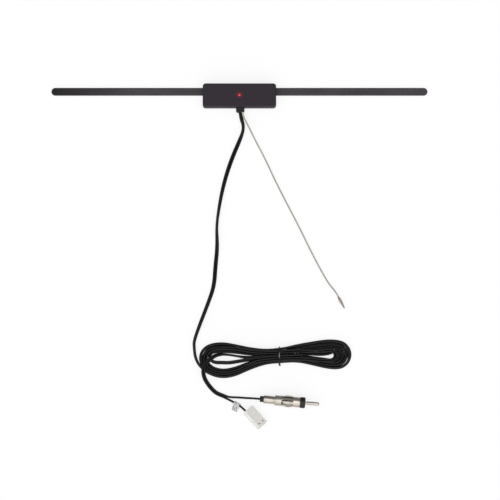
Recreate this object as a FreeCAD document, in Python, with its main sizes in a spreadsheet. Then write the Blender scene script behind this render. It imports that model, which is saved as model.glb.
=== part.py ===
import FreeCAD, Part
import math
import os
import re

import Sketcher
from FreeCAD import Placement, Rotation, Vector

# Glass-mount car antenna: amplifier box, two strip arms, leads, antenna plug and power connector.
# Millimetres. The origin is the middle of the box on the glass, +X runs along the arms, +Y points away
# from the gland and +Z points out of the lamp face. The leads lie on the glass plane, z = 0.

doc = FreeCAD.newDocument("glass_antenna")
sheet = doc.addObject("Spreadsheet::Sheet", "Sizes")

SIZES = (
    # Amplifier box
    ("box_length", 70.2),
    ("box_width", 22.9),
    ("cover_height", 8.5),
    ("box_corner", 2.8),
    ("box_edge", 1.2),
    ("wall", 1.3),
    ("ledge", 0.6),
    ("roof", 1.3),
    ("base_thick", 1.4),
    ("fit_gap", 0.1),
    ("tape_thick", 0.8),
    ("tape_margin", 2.0),
    ("rib_thick", 1.0),
    ("hold_rib_length", 9.0),
    ("hold_rib_spacing", 50.0),
    ("base_rib_length", 30.0),
    ("base_rib_height", 1.0),
    ("base_rib_spacing", 7.0),
    # Circuit board and lamp
    ("board_margin", 1.1),
    ("board_thick", 1.0),
    ("post_height", 2.0),
    ("post_width", 3.2),
    ("post_gap", 1.9),
    ("post_spacing_across", 12.0),
    ("spigot_width", 1.6),
    ("spigot_proud", 0.6),
    ("lamp_width", 3.0),
    ("lamp_dome", 1.2),
    ("lamp_proud", 0.5),
    ("lamp_flange_width", 3.8),
    ("lamp_flange_thick", 1.0),
    ("lamp_collar_width", 5.4),
    ("lamp_collar_depth", 0.7),
    ("lamp_pitch", 2.54),
    ("lamp_leg", 0.5),
    ("lamp_leg_reach", 0.8),
    # Board components
    ("transistor_length", 2.9),
    ("transistor_width", 1.3),
    ("transistor_height", 1.1),
    ("choke_width", 4.0),
    ("choke_height", 2.4),
    ("filter_length", 3.5),
    ("filter_width", 2.8),
    ("filter_height", 1.9),
    ("chip_length", 2.0),
    ("chip_width", 1.25),
    ("capacitor_height", 0.85),
    ("resistor_height", 0.55),
    # Strip arms
    ("span", 360.0),
    ("arm_width", 7.5),
    ("arm_thick", 1.3),
    ("arm_bevel", 0.6),
    ("arm_offset", 4.8),
    ("root_depth", 9.0),
    ("tape_inset", 0.4),
    ("tab_width", 3.0),
    ("tab_thick", 0.3),
    ("tab_setback", 1.0),
    ("tab_foot", 5.0),
    ("tab_flange", 3.0),
    ("rivet_width", 1.6),
    ("rivet_head_width", 2.6),
    ("rivet_head_thick", 0.5),
    # Gland
    ("gland_offset", 0.8),
    ("gland_width", 8.0),
    ("gland_height", 5.8),
    ("gland_level", 4.7),
    ("gland_length", 4.8),
    ("gland_chamfer", 1.1),
    ("gland_bevel", 0.5),
    ("neck_width", 6.4),
    ("neck_height", 4.9),
    ("flange_thick", 0.8),
    # Leads
    ("strand_width", 2.05),
    ("lead_exit", 0.8),
    ("lead_level", 3.65),
    ("wire_width", 1.5),
    ("wire_exit", 2.0),
    ("wire_level", 5.95),
    ("lead_gap", 0.05),
    ("lead_bevel", 0.6),
    ("conductor_width", 0.5),
    ("conductor_length", 3.0),
    ("hank_height", 7.0),
    ("hank_bevel", 2.4),
    ("tie_thick", 0.8),
    ("tie_width", 1.8),
    ("tie_proud", 0.2),
    ("tie_tail_width", 1.8),
    ("tie_tail_length", 2.4),
    ("bare_end_length", 12.6),
    ("bare_end_width", 3.2),
    ("bare_end_tip", 0.8),
    # Antenna plug, from its boot to the tip of its pin
    ("plug_x", 19.4),
    ("plug_y", -291.8),
    ("plug_turn", -5.1),
    ("boot_length", 3.6),
    ("boot_width", 5.7),
    ("boot_insert", 5.0),
    ("barrel_length", 10.4),
    ("barrel_width", 7.5),
    ("barrel_wall", 0.6),
    ("barrel_rim", 0.9),
    ("seam_width", 0.4),
    ("seam_turn", -42.0),
    ("sleeve_length", 24.0),
    ("sleeve_width", 9.7),
    ("sleeve_wall", 0.55),
    ("sleeve_end", 0.9),
    ("sleeve_bevel", 0.5),
    ("window_setback", 6.3),
    ("window_length", 11.2),
    ("window_width", 5.0),
    ("window_count", 4),
    ("leaf_width", 2.2),
    ("leaf_thick", 0.35),
    ("leaf_sink", 0.15),
    ("leaf_rise", 0.5),
    ("leaf_root", 0.4),
    ("leaf_slack", 1.2),
    ("collar_length", 4.9),
    ("collar_width", 10.4),
    ("collar_bevel", 1.1),
    ("spigot_length", 4.0),
    ("pin_length", 13.1),
    ("pin_width", 3.3),
    ("pin_tip", 1.5),
    ("shank_width", 2.8),
    ("shank_neck", 1.4),
    ("shank_tail", 2.0),
    ("core_width", 1.5),
    # Power connector and the paper flag on its lead
    ("connector_x", 14.8),
    ("connector_y", -309.4),
    ("connector_turn", -47.6),
    ("connector_roll", -18.0),
    ("connector_length", 20.5),
    ("connector_width", 10.3),
    ("connector_thick", 6.8),
    ("connector_corner", 0.7),
    ("way_pitch", 4.9),
    ("way_width", 3.7),
    ("way_height", 4.6),
    ("way_depth", 15.5),
    ("lance_setback", 2.0),
    ("lance_length", 1.6),
    ("lance_width", 2.2),
    ("split_width", 1.2),
    ("split_depth", 3.0),
    ("contact_wall", 0.35),
    ("contact_length", 6.5),
    ("contact_setback", 4.0),
    ("crimp_length", 4.0),
    ("crimp_width", 2.7),
    ("flag_length", 6.4),
    ("flag_reach", 7.5),
    ("flag_thick", 0.35),
    ("flag_bore", 2.9),
    ("flag_droop", 21.0),
)
for row, (alias, number) in enumerate(SIZES, start=1):
    sheet.set(f"A{row}", str(number))
    sheet.setAlias(f"A{row}", alias)
doc.recompute()

# Levels and places that several pieces share, written as formulas of the sizes
BASE_TOP = "(tape_thick + base_thick)"
BOARD_LOW = f"({BASE_TOP} + post_height)"
BOARD_TOP = f"({BOARD_LOW} + board_thick)"
COVER_TOP = "(tape_thick + cover_height)"
ROOF_LOW = f"({COVER_TOP} - roof)"
ARM_TOP = "(tape_thick + arm_thick)"
ARM_ROOT = "(box_length / 2 - root_depth)"
RIVET_PLACE = "(box_length / 2 - root_depth / 2)"
WALL_INSIDE = "(box_width / 2 - wall - ledge)"
BOARD_END = "(box_length / 2 - wall - ledge - board_margin)"
BOARD_SIDE = f"({WALL_INSIDE} - board_margin)"
POST_ALONG = f"({ARM_ROOT} + tab_setback - tab_flange - post_gap - post_width / 2)"
GLAND_BACK = f"({WALL_INSIDE} - flange_thick)"
BARREL_START = "boot_length"
SLEEVE_START = "(boot_length + barrel_length)"
COLLAR_START = f"({SLEEVE_START} + sleeve_length)"
PIN_START = f"({COLLAR_START} + collar_length)"
SLEEVE_BORE = "(sleeve_width / 2 - sleeve_wall)"
BARREL_BORE = "(barrel_width / 2 - barrel_wall)"
CONTACT_REAR = "(connector_length / 2 - contact_setback - contact_length - crimp_length)"

nodes = []


# Helpers: formulas, bodies and sketches
def tied(words):
    """Formula in which every size's name points at its cell of the sheet."""
    return re.sub(r"[a-z_]+", lambda found: "Sizes." + found.group(), words)


def value(words):
    """Number that a formula of the sizes gives."""
    return float(sheet.evalExpression(tied(words)))


def new_body(label, counted=True):
    body = doc.addObject("PartDesign::Body", label)
    body.Label = label
    if counted:
        nodes.append(body)
    return body


def new_sketch(body, role, height="0"):
    """Sketch on one of the body's own planes, moved along the plane's normal."""
    sketch = body.newObject("Sketcher::SketchObject", "sketch")
    ground = next(plane for plane in body.Origin.OriginFeatures if plane.Role == role)
    sketch.AttachmentSupport = [(ground, "")]
    sketch.MapMode = "FlatFace"
    sketch.setExpression("AttachmentOffset.Base.z", tied(height))
    return sketch


def bind(sketch, kind, items, words):
    """Dimension of a sketch that follows a formula."""
    index = sketch.addConstraint(Sketcher.Constraint(kind, *items, value(words)))
    sketch.setExpression(f"Constraints[{index}]", tied(words))


def hold(sketch, geometry, point, x=None, y=None):
    """Keep a point of a sketch at a place given by formulas."""
    for kind, axis, words in (("DistanceX", -2, x), ("DistanceY", -1, y)):
        if words == "0":
            sketch.addConstraint(Sketcher.Constraint("PointOnObject", geometry, point, axis))
        elif words is not None:
            bind(sketch, kind, (-1, 1, geometry, point), words)


def spot(x, y):
    return Vector(value(x), value(y), 0)


def polygon(sketch, corners):
    """Closed outline of straight sides with every corner held."""
    places = [spot(x, y) for x, y in corners]
    first = sketch.GeometryCount
    count = len(corners)
    for index in range(count):
        sketch.addGeometry(Part.LineSegment(places[index], places[(index + 1) % count]))
    for index in range(count):
        following = first + (index + 1) % count
        sketch.addConstraint(Sketcher.Constraint("Coincident", first + index, 2, following, 1))
    for index, (x, y) in enumerate(corners):
        hold(sketch, first + index, 1, x, y)


def rectangle(sketch, west, east, south, north):
    polygon(sketch, ((west, south), (east, south), (east, north), (west, north)))


def sides_of(half, middle="0"):
    """The two sides of a width, given as its half and its middle."""
    return f"{middle} - ({half})", f"{middle} + ({half})"


def circle(sketch, x, y, width):
    geometry = sketch.addGeometry(Part.Circle(spot(x, y), Vector(0, 0, 1), value(width) / 2))
    hold(sketch, geometry, 3, x, y)
    bind(sketch, "Diameter", (geometry,), width)


def arc(centre, radius, start, end):
    round_line = Part.Circle(centre, Vector(0, 0, 1), radius)
    return Part.ArcOfCircle(round_line, math.radians(start), math.radians(end))


def chain(sketch, first, count):
    """Join a closed run of lines and arcs end to end, each tangent to the next."""
    for index in range(count):
        following = first + (index + 1) % count
        sketch.addConstraint(Sketcher.Constraint("Tangent", first + index, 2, following, 1))


def rounded_rectangle(sketch, half_length, half_width, radius, level="0"):
    """Rectangle with round corners about the sketch's vertical axis, centred at a level."""
    length = value(half_length)
    width = value(half_width)
    middle = value(level)
    bend = value(radius)
    first = sketch.GeometryCount
    for quarter in range(4):
        along = Rotation(Vector(0, 0, 1), 90 * quarter)
        reach, depth = (length, width) if quarter % 2 == 0 else (width, length)
        lift = Vector(0, middle, 0)
        side = [along.multVec(Vector(x, -depth, 0)) + lift for x in (bend - reach, reach - bend)]
        sketch.addGeometry(Part.LineSegment(*side))
        centre = along.multVec(Vector(reach - bend, bend - depth, 0)) + lift
        sketch.addGeometry(arc(centre, bend, 90 * quarter - 90, 90 * quarter))
    chain(sketch, first, 8)
    for quarter, direction in enumerate(("Horizontal", "Vertical", "Horizontal", "Vertical")):
        sketch.addConstraint(Sketcher.Constraint(direction, first + 2 * quarter))
    for quarter in range(1, 4):
        sketch.addConstraint(Sketcher.Constraint("Equal", first + 1, first + 1 + 2 * quarter))
    bind(sketch, "Radius", (first + 1,), radius)
    hold(sketch, first, 1, y=f"{level} - ({half_width})")
    hold(sketch, first + 2, 1, x=half_length)
    hold(sketch, first + 4, 1, y=f"{level} + ({half_width})")
    hold(sketch, first + 6, 1, x=f"-({half_length})")


def strip(sketch, root, tip, width):
    """Flat strip along the sketch's first axis with a half-round tip."""
    start = value(root)
    half = value(width) / 2
    turn = value(tip) - half
    first = sketch.GeometryCount
    sketch.addGeometry(Part.LineSegment(Vector(start, -half, 0), Vector(turn, -half, 0)))
    sketch.addGeometry(arc(Vector(turn, 0, 0), half, -90, 90))
    sketch.addGeometry(Part.LineSegment(Vector(turn, half, 0), Vector(start, half, 0)))
    sketch.addGeometry(Part.LineSegment(Vector(start, half, 0), Vector(start, -half, 0)))
    sketch.addConstraint(Sketcher.Constraint("Tangent", first, 2, first + 1, 1))
    sketch.addConstraint(Sketcher.Constraint("Tangent", first + 1, 2, first + 2, 1))
    sketch.addConstraint(Sketcher.Constraint("Coincident", first + 2, 2, first + 3, 1))
    sketch.addConstraint(Sketcher.Constraint("Coincident", first + 3, 2, first, 1))
    sketch.addConstraint(Sketcher.Constraint("Vertical", first + 3))
    sketch.addConstraint(Sketcher.Constraint("Horizontal", first))
    bind(sketch, "Radius", (first + 1,), f"{width} / 2")
    hold(sketch, first + 1, 3, x=f"{tip} - {width} / 2", y="0")
    hold(sketch, first + 3, 2, x=root)


# Helpers: features of a body
def extrude(body, kind, sketch, length, backwards, both_ways):
    feature = body.newObject(f"PartDesign::{kind}", kind.lower())
    feature.Profile = sketch
    feature.Reversed = backwards
    feature.SideType = "Symmetric" if both_ways else "One side"
    if length is None:
        feature.Type = "ThroughAll"
    else:
        feature.setExpression("Length", tied(length))
    doc.recompute()
    return feature


def pad(body, sketch, length, backwards=False, both_ways=False):
    return extrude(body, "Pad", sketch, length, backwards, both_ways)


def pocket(body, sketch, length=None, backwards=False, both_ways=False):
    """Cut against the sketch's normal, or along it when backwards; right through with no length."""
    before = body.Shape.Volume
    feature = extrude(body, "Pocket", sketch, length, backwards, both_ways)
    if body.Shape.Volume > before - 0.001:
        raise RuntimeError(f"{body.Label}: a pocket cuts nothing")
    return feature


def revolve(body, sketch, axis):
    feature = body.newObject("PartDesign::Revolution", "revolution")
    feature.Profile = sketch
    feature.ReferenceAxis = (sketch, [axis])
    doc.recompute()
    return feature


def soften(body, kind, size, chosen):
    """Fillet or chamfer on the edges that a test chooses."""
    base = body.Tip
    names = [f"Edge{index}" for index, edge in enumerate(base.Shape.Edges, start=1) if chosen(edge)]
    feature = body.newObject(f"PartDesign::{kind}", kind.lower())
    feature.Base = (base, names)
    feature.setExpression("Radius" if kind == "Fillet" else "Size", tied(size))
    doc.recompute()
    return feature


def near(first, second):
    return abs(first - second) < 0.001


def ring_at(place, width):
    """Test for the round edges about the first axis at a place and of a width."""
    def chosen(edge):
        box = edge.BoundBox
        flat = near(box.XMin, value(place)) and near(box.XMax, value(place))
        return flat and near(box.YLength, value(width))
    return chosen


def group(label, pieces):
    """Several like solids in one node."""
    feature = doc.addObject("Part::Compound", label)
    feature.Links = pieces
    feature.Label = label
    nodes.append(feature)
    return feature


def cylinder(x, y, level, width, height):
    feature = doc.addObject("Part::Cylinder", "cylinder")
    feature.setExpression("Radius", tied(f"({width}) / 2"))
    feature.setExpression("Height", tied(height))
    feature.setExpression("Placement.Base.x", tied(x))
    feature.setExpression("Placement.Base.y", tied(y))
    feature.setExpression("Placement.Base.z", tied(level))
    return feature


def fused(pieces):
    feature = doc.addObject("Part::MultiFuse", "fused")
    feature.Shapes = pieces
    return feature


# Amplifier box: the cover is a moulded shell, open below, with a rebate for the back plate
cover = new_body("amp_cover")
outline = new_sketch(cover, "XY_Plane", "tape_thick")
rounded_rectangle(outline, "box_length / 2", "box_width / 2", "box_corner")
pad(cover, outline, "cover_height")
soften(cover, "Fillet", "box_edge", lambda edge: edge.BoundBox.ZMin > value(COVER_TOP) - 0.001)
rebate = new_sketch(cover, "XY_Plane", "tape_thick")
rectangle(rebate, *sides_of("box_length / 2 - wall"), *sides_of("box_width / 2 - wall"))
pocket(cover, rebate, "base_thick", backwards=True)
cavity = new_sketch(cover, "XY_Plane", "tape_thick")
rectangle(cavity, *sides_of("box_length / 2 - wall - ledge"), *sides_of(WALL_INSIDE))
pocket(cover, cavity, "cover_height - roof", backwards=True)
collar = new_sketch(cover, "XY_Plane", ROOF_LOW)
rectangle(collar, *sides_of("lamp_collar_width / 2"), *sides_of("lamp_collar_width / 2"))
pad(cover, collar, "lamp_collar_depth", backwards=True)
lamp_hole = new_sketch(cover, "XY_Plane", COVER_TOP)
circle(lamp_hole, "0", "0", "lamp_width + 2 * fit_gap")
pocket(cover, lamp_hole)
for side in ("", "-"):
    hold_rib = new_sketch(cover, "XY_Plane", ROOF_LOW)
    inner = f"{side}(hold_rib_spacing / 2)"
    outer = f"{side}(hold_rib_spacing / 2 + rib_thick)"
    rectangle(hold_rib, inner, outer, "-hold_rib_length / 2", "hold_rib_length / 2")
    pad(cover, hold_rib, f"{ROOF_LOW} - {BOARD_TOP} - fit_gap", backwards=True)
arm_slots = new_sketch(cover, "YZ_Plane")
slot_half = "(arm_width / 2 + fit_gap)"
rectangle(arm_slots, *sides_of(slot_half, "arm_offset"), "0", f"{ARM_TOP} + fit_gap")
pocket(cover, arm_slots, both_ways=True)
gland_notch = new_sketch(cover, "XZ_Plane")
notch_half = "(neck_width / 2 + fit_gap)"
notch_top = f"{BASE_TOP} + neck_height + fit_gap"
rectangle(gland_notch, *sides_of(notch_half, "gland_offset"), "0", notch_top)
pocket(cover, gland_notch, backwards=True)

# Back plate: seated in the rebate, notched for the arms' roots, with posts that carry the board
base = new_body("amp_base")
plate = new_sketch(base, "XY_Plane", "tape_thick")
rectangle(plate, *sides_of("box_length / 2 - wall - fit_gap"), *sides_of("box_width / 2 - wall - fit_gap"))
pad(base, plate, "base_thick")
for side in ("", "-"):
    root_notch = new_sketch(base, "XY_Plane", "tape_thick")
    west, east = f"{side}({ARM_ROOT} - fit_gap)", f"{side}(box_length / 2)"
    rectangle(root_notch, west, east, *sides_of(slot_half, "arm_offset"))
    pocket(base, root_notch, "base_thick", backwards=True)
    base_rib = new_sketch(base, "XY_Plane", BASE_TOP)
    near_side = f"{side}(base_rib_spacing / 2)"
    far_side = f"{side}(base_rib_spacing / 2 + rib_thick)"
    rectangle(base_rib, "-base_rib_length / 2", "base_rib_length / 2", near_side, far_side)
    pad(base, base_rib, "base_rib_height")
post_places = [(f"{a}{POST_ALONG}", f"{b}post_spacing_across / 2") for a in ("", "-") for b in ("", "-")]
spigot_places = (post_places[0], post_places[3])
posts = new_sketch(base, "XY_Plane", BASE_TOP)
for x, y in post_places:
    rectangle(posts, *sides_of("post_width / 2", x), *sides_of("post_width / 2", y))
pad(base, posts, "post_height")
spigots = new_sketch(base, "XY_Plane", BOARD_LOW)
for x, y in spigot_places:
    rectangle(spigots, *sides_of("spigot_width / 2", x), *sides_of("spigot_width / 2", y))
pad(base, spigots, "board_thick + spigot_proud")

# Foam tape under the back plate
base_tape = new_body("base_tape")
tape_face = new_sketch(base_tape, "XY_Plane")
rounded_rectangle(tape_face, "box_length / 2 - tape_margin", "box_width / 2 - tape_margin", "box_corner")
pad(base_tape, tape_face, "tape_thick")

# Circuit board on the posts, pinned by the two spigots
board = new_body("circuit_board")
board_face = new_sketch(board, "XY_Plane", BOARD_LOW)
rectangle(board_face, *sides_of(BOARD_END), *sides_of(BOARD_SIDE))
pad(board, board_face, "board_thick")
board_holes = new_sketch(board, "XY_Plane", BOARD_TOP)
for x, y in spigot_places:
    hole_half = "spigot_width / 2 + fit_gap"
    rectangle(board_holes, *sides_of(hole_half, x), *sides_of(hole_half, y))
for side in ("", "-"):
    inner = f"{side}(lamp_pitch / 2 - lamp_leg)"
    outer = f"{side}(lamp_pitch / 2 + lamp_leg)"
    rectangle(board_holes, inner, outer, "-lamp_leg", "lamp_leg")
pocket(board, board_holes)

# Indicator lamp: a domed lamp on two legs, standing through the cover
lamp = new_body("indicator_led")
lamp_profile = new_sketch(lamp, "XZ_Plane")
lamp_top = f"{COVER_TOP} + lamp_proud"
flange_top = f"{BOARD_TOP} + lamp_flange_thick"
polygon(lamp_profile, (
    ("0", BOARD_TOP),
    ("lamp_flange_width / 2", BOARD_TOP),
    ("lamp_flange_width / 2", flange_top),
    ("lamp_width / 2", flange_top),
    ("lamp_width / 2", f"{lamp_top} - lamp_dome"),
    ("lamp_width * 0.34", f"{lamp_top} - lamp_dome * 0.25"),
    ("0", lamp_top),
))
revolve(lamp, lamp_profile, "V_Axis")
for side in ("", "-"):
    leg = new_sketch(lamp, "XY_Plane", BOARD_TOP)
    inner = f"{side}(lamp_pitch / 2 - lamp_leg / 2)"
    outer = f"{side}(lamp_pitch / 2 + lamp_leg / 2)"
    rectangle(leg, inner, outer, "-lamp_leg / 2", "lamp_leg / 2")
    pad(lamp, leg, "board_thick + lamp_leg_reach", backwards=True)


# Board components, soldered to the board's top face
def chips(label, places, length, width, height):
    """Box-shaped components centred at places on the board."""
    boxes = []
    for x, y in places:
        chip = doc.addObject("Part::Box", "chip")
        chip.setExpression("Length", tied(length))
        chip.setExpression("Width", tied(width))
        chip.setExpression("Height", tied(height))
        chip.setExpression("Placement.Base.x", tied(f"{x} - {length} / 2"))
        chip.setExpression("Placement.Base.y", tied(f"{y} - {width} / 2"))
        chip.setExpression("Placement.Base.z", tied(BOARD_TOP))
        boxes.append(chip)
    return group(label, boxes)


RIB_INSIDE = "(hold_rib_spacing / 2)"
SOUTH_SIDE = f"{BOARD_SIDE} * -1"
TRANSISTOR_PLACES = ((-9, 2), (9, 2))
CHOKE_PLACES = ((-14.5, -3), (14.5, -3))
FILTER_PLACES = ((6, f"{SOUTH_SIDE} + 3.9"),)
CAPACITOR_PLACES = (
    (f"2.4 - {RIB_INSIDE}", -1), (-17, 3.5), (-5, 4.5),
    (12, 5), (17, 2), (f"{RIB_INSIDE} - 1.4", -2),
)
RESISTOR_PLACES = ((-12, 6), (-6, -4), (3, 5.5), (10.5, -1.5), (f"{RIB_INSIDE} - 2.9", 2.5))
TRANSISTOR_BOX = ("transistor_length", "transistor_width", "transistor_height")
chips("amplifier_transistors", TRANSISTOR_PLACES, *TRANSISTOR_BOX)
chips("filter_capacitor", FILTER_PLACES, "filter_length", "filter_width", "filter_height")
chips("chip_capacitors", CAPACITOR_PLACES, "chip_length", "chip_width", "capacitor_height")
chips("chip_resistors", RESISTOR_PLACES, "chip_length", "chip_width", "resistor_height")
chokes = []
for x, y in CHOKE_PLACES:
    chokes.append(cylinder(f"{x}", f"{y}", BOARD_TOP, "choke_width", "choke_height"))
group("choke_coils", chokes)


# Strip arms: each is drawn along +X from its root in the box and then turned to its own side
def place_arm_piece(body, turn):
    body.Placement = Placement(Vector(0, value("arm_offset"), 0), Rotation(Vector(0, 0, 1), turn))
    body.setExpression("Placement.Base.y", tied("arm_offset"))


rivets = []
for side_name, turn in (("left", 180), ("right", 0)):
    element = new_body(f"{side_name}_element")
    face = new_sketch(element, "XY_Plane", "tape_thick")
    strip(face, ARM_ROOT, "span / 2", "arm_width")
    pad(element, face, "arm_thick")

    def bevelled(edge):
        box = edge.BoundBox
        return box.ZMin > value(ARM_TOP) - 0.001 and box.XMax > value(ARM_ROOT) + 0.001

    soften(element, "Chamfer", "arm_bevel", bevelled)
    rivet_hole = new_sketch(element, "XY_Plane", ARM_TOP)
    circle(rivet_hole, RIVET_PLACE, "0", "rivet_width + 2 * lead_gap")
    pocket(element, rivet_hole)
    place_arm_piece(element, turn)

    tape = new_body(f"{side_name}_tape")
    backing = new_sketch(tape, "XY_Plane")
    strip(backing, "box_length / 2 + fit_gap", "span / 2 - tape_inset", "(arm_width - 2 * tape_inset)")
    pad(tape, backing, "tape_thick")
    place_arm_piece(tape, turn)

    tab = new_body(f"{side_name}_feed_tab")
    bend = new_sketch(tab, "XZ_Plane")
    riser = f"({ARM_ROOT} + tab_setback)"
    polygon(bend, (
        (riser, ARM_TOP),
        (f"{riser} + tab_foot", ARM_TOP),
        (f"{riser} + tab_foot", f"{ARM_TOP} + tab_thick"),
        (f"{riser} + tab_thick", f"{ARM_TOP} + tab_thick"),
        (f"{riser} + tab_thick", BOARD_LOW),
        (f"{riser} - tab_flange", BOARD_LOW),
        (f"{riser} - tab_flange", f"{BOARD_LOW} - tab_thick"),
        (riser, f"{BOARD_LOW} - tab_thick"),
    ))
    pad(tab, bend, "tab_width", both_ways=True)
    tab_hole = new_sketch(tab, "XY_Plane")
    circle(tab_hole, RIVET_PLACE, "0", "rivet_width + 2 * lead_gap")
    pocket(tab, tab_hole, f"{ARM_TOP} + 2 * tab_thick", backwards=True)
    place_arm_piece(tab, turn)

    rivet_x = RIVET_PLACE if turn == 0 else f"-{RIVET_PLACE}"
    head_low = f"{ARM_TOP} + tab_thick"
    shank = cylinder(rivet_x, "arm_offset", "tape_thick", "rivet_width", "arm_thick + tab_thick")
    head = cylinder(rivet_x, "arm_offset", head_low, "rivet_head_width", "rivet_head_thick")
    rivets.append(fused([shank, head]))
group("element_rivets", rivets)

# Gland: a soft block gripped by the cover's wall, tapered in plan at its outer end
gland = new_body("gland_block", counted=False)
flange_face = new_sketch(gland, "XZ_Plane", GLAND_BACK)
gland_low = "(gland_level - gland_height / 2)"
gland_top = "(gland_level + gland_height / 2)"
gland_west = "gland_offset - gland_width / 2"
gland_east = "gland_offset + gland_width / 2"
rectangle(flange_face, gland_west, gland_east, BASE_TOP, gland_top)
pad(gland, flange_face, "flange_thick")
neck_face = new_sketch(gland, "XZ_Plane", WALL_INSIDE)
neck_sides = ("gland_offset - neck_width / 2", "gland_offset + neck_width / 2")
rectangle(neck_face, *neck_sides, BASE_TOP, f"{BASE_TOP} + neck_height")
pad(gland, neck_face, "wall + ledge")
block_face = new_sketch(gland, "XY_Plane", gland_low)
gland_front = "-(box_width / 2 + gland_length)"
polygon(block_face, (
    (gland_west, "-box_width / 2"),
    (gland_west, f"{gland_front} + gland_chamfer"),
    (f"{gland_west} + gland_chamfer", gland_front),
    (f"{gland_east} - gland_chamfer", gland_front),
    (gland_east, f"{gland_front} + gland_chamfer"),
    (gland_east, "-box_width / 2"),
))
pad(gland, block_face, "gland_height")


def gland_rim(edge):
    box = edge.BoundBox
    level = box.ZMin > value(gland_top) - 0.001 or box.ZMax < value(gland_low) + 0.001
    return level and box.YMin < -value("box_width / 2") - 0.001


soften(gland, "Chamfer", "gland_bevel", gland_rim)

# Bared ends of the leads, soldered under the board, and above it for the single wire
conductors = []
under_board = f"{BOARD_LOW} - conductor_width"
over_board = BOARD_TOP
for x, level in (
    ("lead_exit - strand_width * 0.7", under_board),
    ("lead_exit - strand_width * 0.3", under_board),
    ("lead_exit + strand_width * 0.5", under_board),
    ("wire_exit", over_board),
):
    conductor = doc.addObject("Part::Box", "conductor")
    conductor.setExpression("Length", tied("conductor_width"))
    conductor.setExpression("Width", tied("conductor_length"))
    conductor.setExpression("Height", tied("conductor_width"))
    conductor.setExpression("Placement.Base.x", tied(f"{x} - conductor_width / 2"))
    conductor.setExpression("Placement.Base.y", tied(f"lead_gap - {GLAND_BACK}"))
    conductor.setExpression("Placement.Base.z", tied(level))
    conductors.append(conductor)
group("lead_conductors", conductors)


# Leads: straight runs joined by tangent arcs, each arc as large as its two runs allow
def rounded_path(label, points):
    edges = []
    radii = []
    start = points[0]
    for before, corner, after in zip(points, points[1:], points[2:]):
        back = before - corner
        ahead = after - corner
        reach = 0.45 * min(back.Length, ahead.Length)
        back.normalize()
        ahead.normalize()
        half_turn = (math.pi - back.getAngle(ahead)) / 2
        radius = reach / math.tan(half_turn)
        inward = (back + ahead).normalize()
        middle = corner + inward * (radius / math.cos(half_turn) - radius)
        entry = corner + back * reach
        leave = corner + ahead * reach
        edges.append(Part.LineSegment(start, entry).toShape())
        edges.append(Part.Arc(entry, middle, leave).toShape())
        radii.append(round(radius, 1))
        start = leave
    edges.append(Part.LineSegment(start, points[-1]).toShape())
    print(label, "bend radii", radii)
    return Part.Wire(edges)


def ring_of(points, places):
    """Closed outline across the start of a route; places are given sideways and upwards."""
    along = (points[1] - points[0]).normalize()
    across = Vector(0, 0, 1).cross(along).normalize()
    rise = along.cross(across)
    corners = [points[0] + across * side + rise * up for side, up in places]
    return Part.makePolygon(corners + corners[:1])


def flat_section(points, room=0):
    """Six-sided outline of the twin lead, lying flat, with room left round it."""
    half = value("strand_width") + room
    low = value("strand_width") / 2 + room
    flat = half - value("lead_bevel")
    return ring_of(points, [(half, 0), (flat, low), (-flat, low), (-half, 0), (-flat, -low), (flat, -low)])


def round_section(points, width):
    """Six-sided outline of a round lead, with a flat side below."""
    turns = [math.radians(60 * step) for step in range(6)]
    return ring_of(points, [(width / 2 * math.cos(turn), width / 2 * math.sin(turn)) for turn in turns])


def sweep(label, points, section, flat=False):
    """Solid along a route, compared with its section times its length. A flat one doesn't twist."""
    path = rounded_path(label, points)
    maker = Part.BRepOffsetAPI.MakePipeShell(path)
    if flat:
        maker.setBiNormalMode(Vector(0, 0, 1))
    maker.add(section)
    maker.build()
    maker.makeSolid()
    solid = maker.shape()
    expected = Part.Face(section).Area * path.Length
    print(label, "length", round(path.Length, 1), "volume ratio", round(solid.Volume / expected, 4))
    return solid


def soft_solid(label, shape, counted=True):
    feature = doc.addObject("Part::Feature", label)
    feature.Shape = shape
    feature.Label = label
    if counted:
        nodes.append(feature)
    return feature


def points_of(route):
    return [Vector(*point) for point in route]


# Hank: the gathered lead as one solid with the outline of its two lobes and the eyes between its legs
HANK_OUTLINE = (
    (-37.2, -254.8), (-34.0, -246.5), (-26.5, -240.5), (-15.0, -238.5), (-1.0, -240.4), (13.0, -243.4),
    (27.0, -244.3), (40.0, -242.9), (54.0, -239.5), (68.0, -237.4), (84.0, -235.8), (96.0, -237.4),
    (103.3, -244.4), (105.6, -252.4), (102.2, -260.4), (93.0, -263.8), (80.0, -262.2), (66.0, -259.0),
    (50.0, -257.2), (33.0, -257.9), (18.0, -260.8), (4.0, -266.2), (-10.0, -270.4), (-23.0, -269.5),
    (-32.5, -264.6),
)
LEFT_EYE = (
    (-26.0, -254.2), (-20.0, -251.0), (-12.0, -250.6), (-4.0, -252.0), (4.0, -256.0),
    (-3.0, -260.2), (-12.0, -262.4), (-20.0, -261.4),
)
RIGHT_EYE = ((61.0, -249.7), (72.0, -249.9), (87.0, -252.5), (74.0, -252.1))
TIE_PLACE = 36.8
TIE_LOW = -257.6
TIE_HIGH = -243.2


def closed_line(places, level=0):
    corners = [Vector(x, y, level) for x, y in places]
    return Part.makePolygon(corners + corners[:1])


def hank_shape():
    height = value("hank_height")
    bevel = value("hank_bevel")
    lower = Part.Face(closed_line(HANK_OUTLINE)).extrude(Vector(0, 0, height - bevel))
    rim = closed_line(HANK_OUTLINE, height - bevel)
    crown = rim.makeOffset2D(-bevel, 2)
    crown.translate(Vector(0, 0, bevel))
    solid = lower.fuse(Part.makeLoft([rim, crown], True, True)).removeSplitter()
    for eye in (LEFT_EYE, RIGHT_EYE):
        solid = solid.cut(Part.Face(closed_line(eye)).extrude(Vector(0, 0, height)))
    return solid


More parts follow.
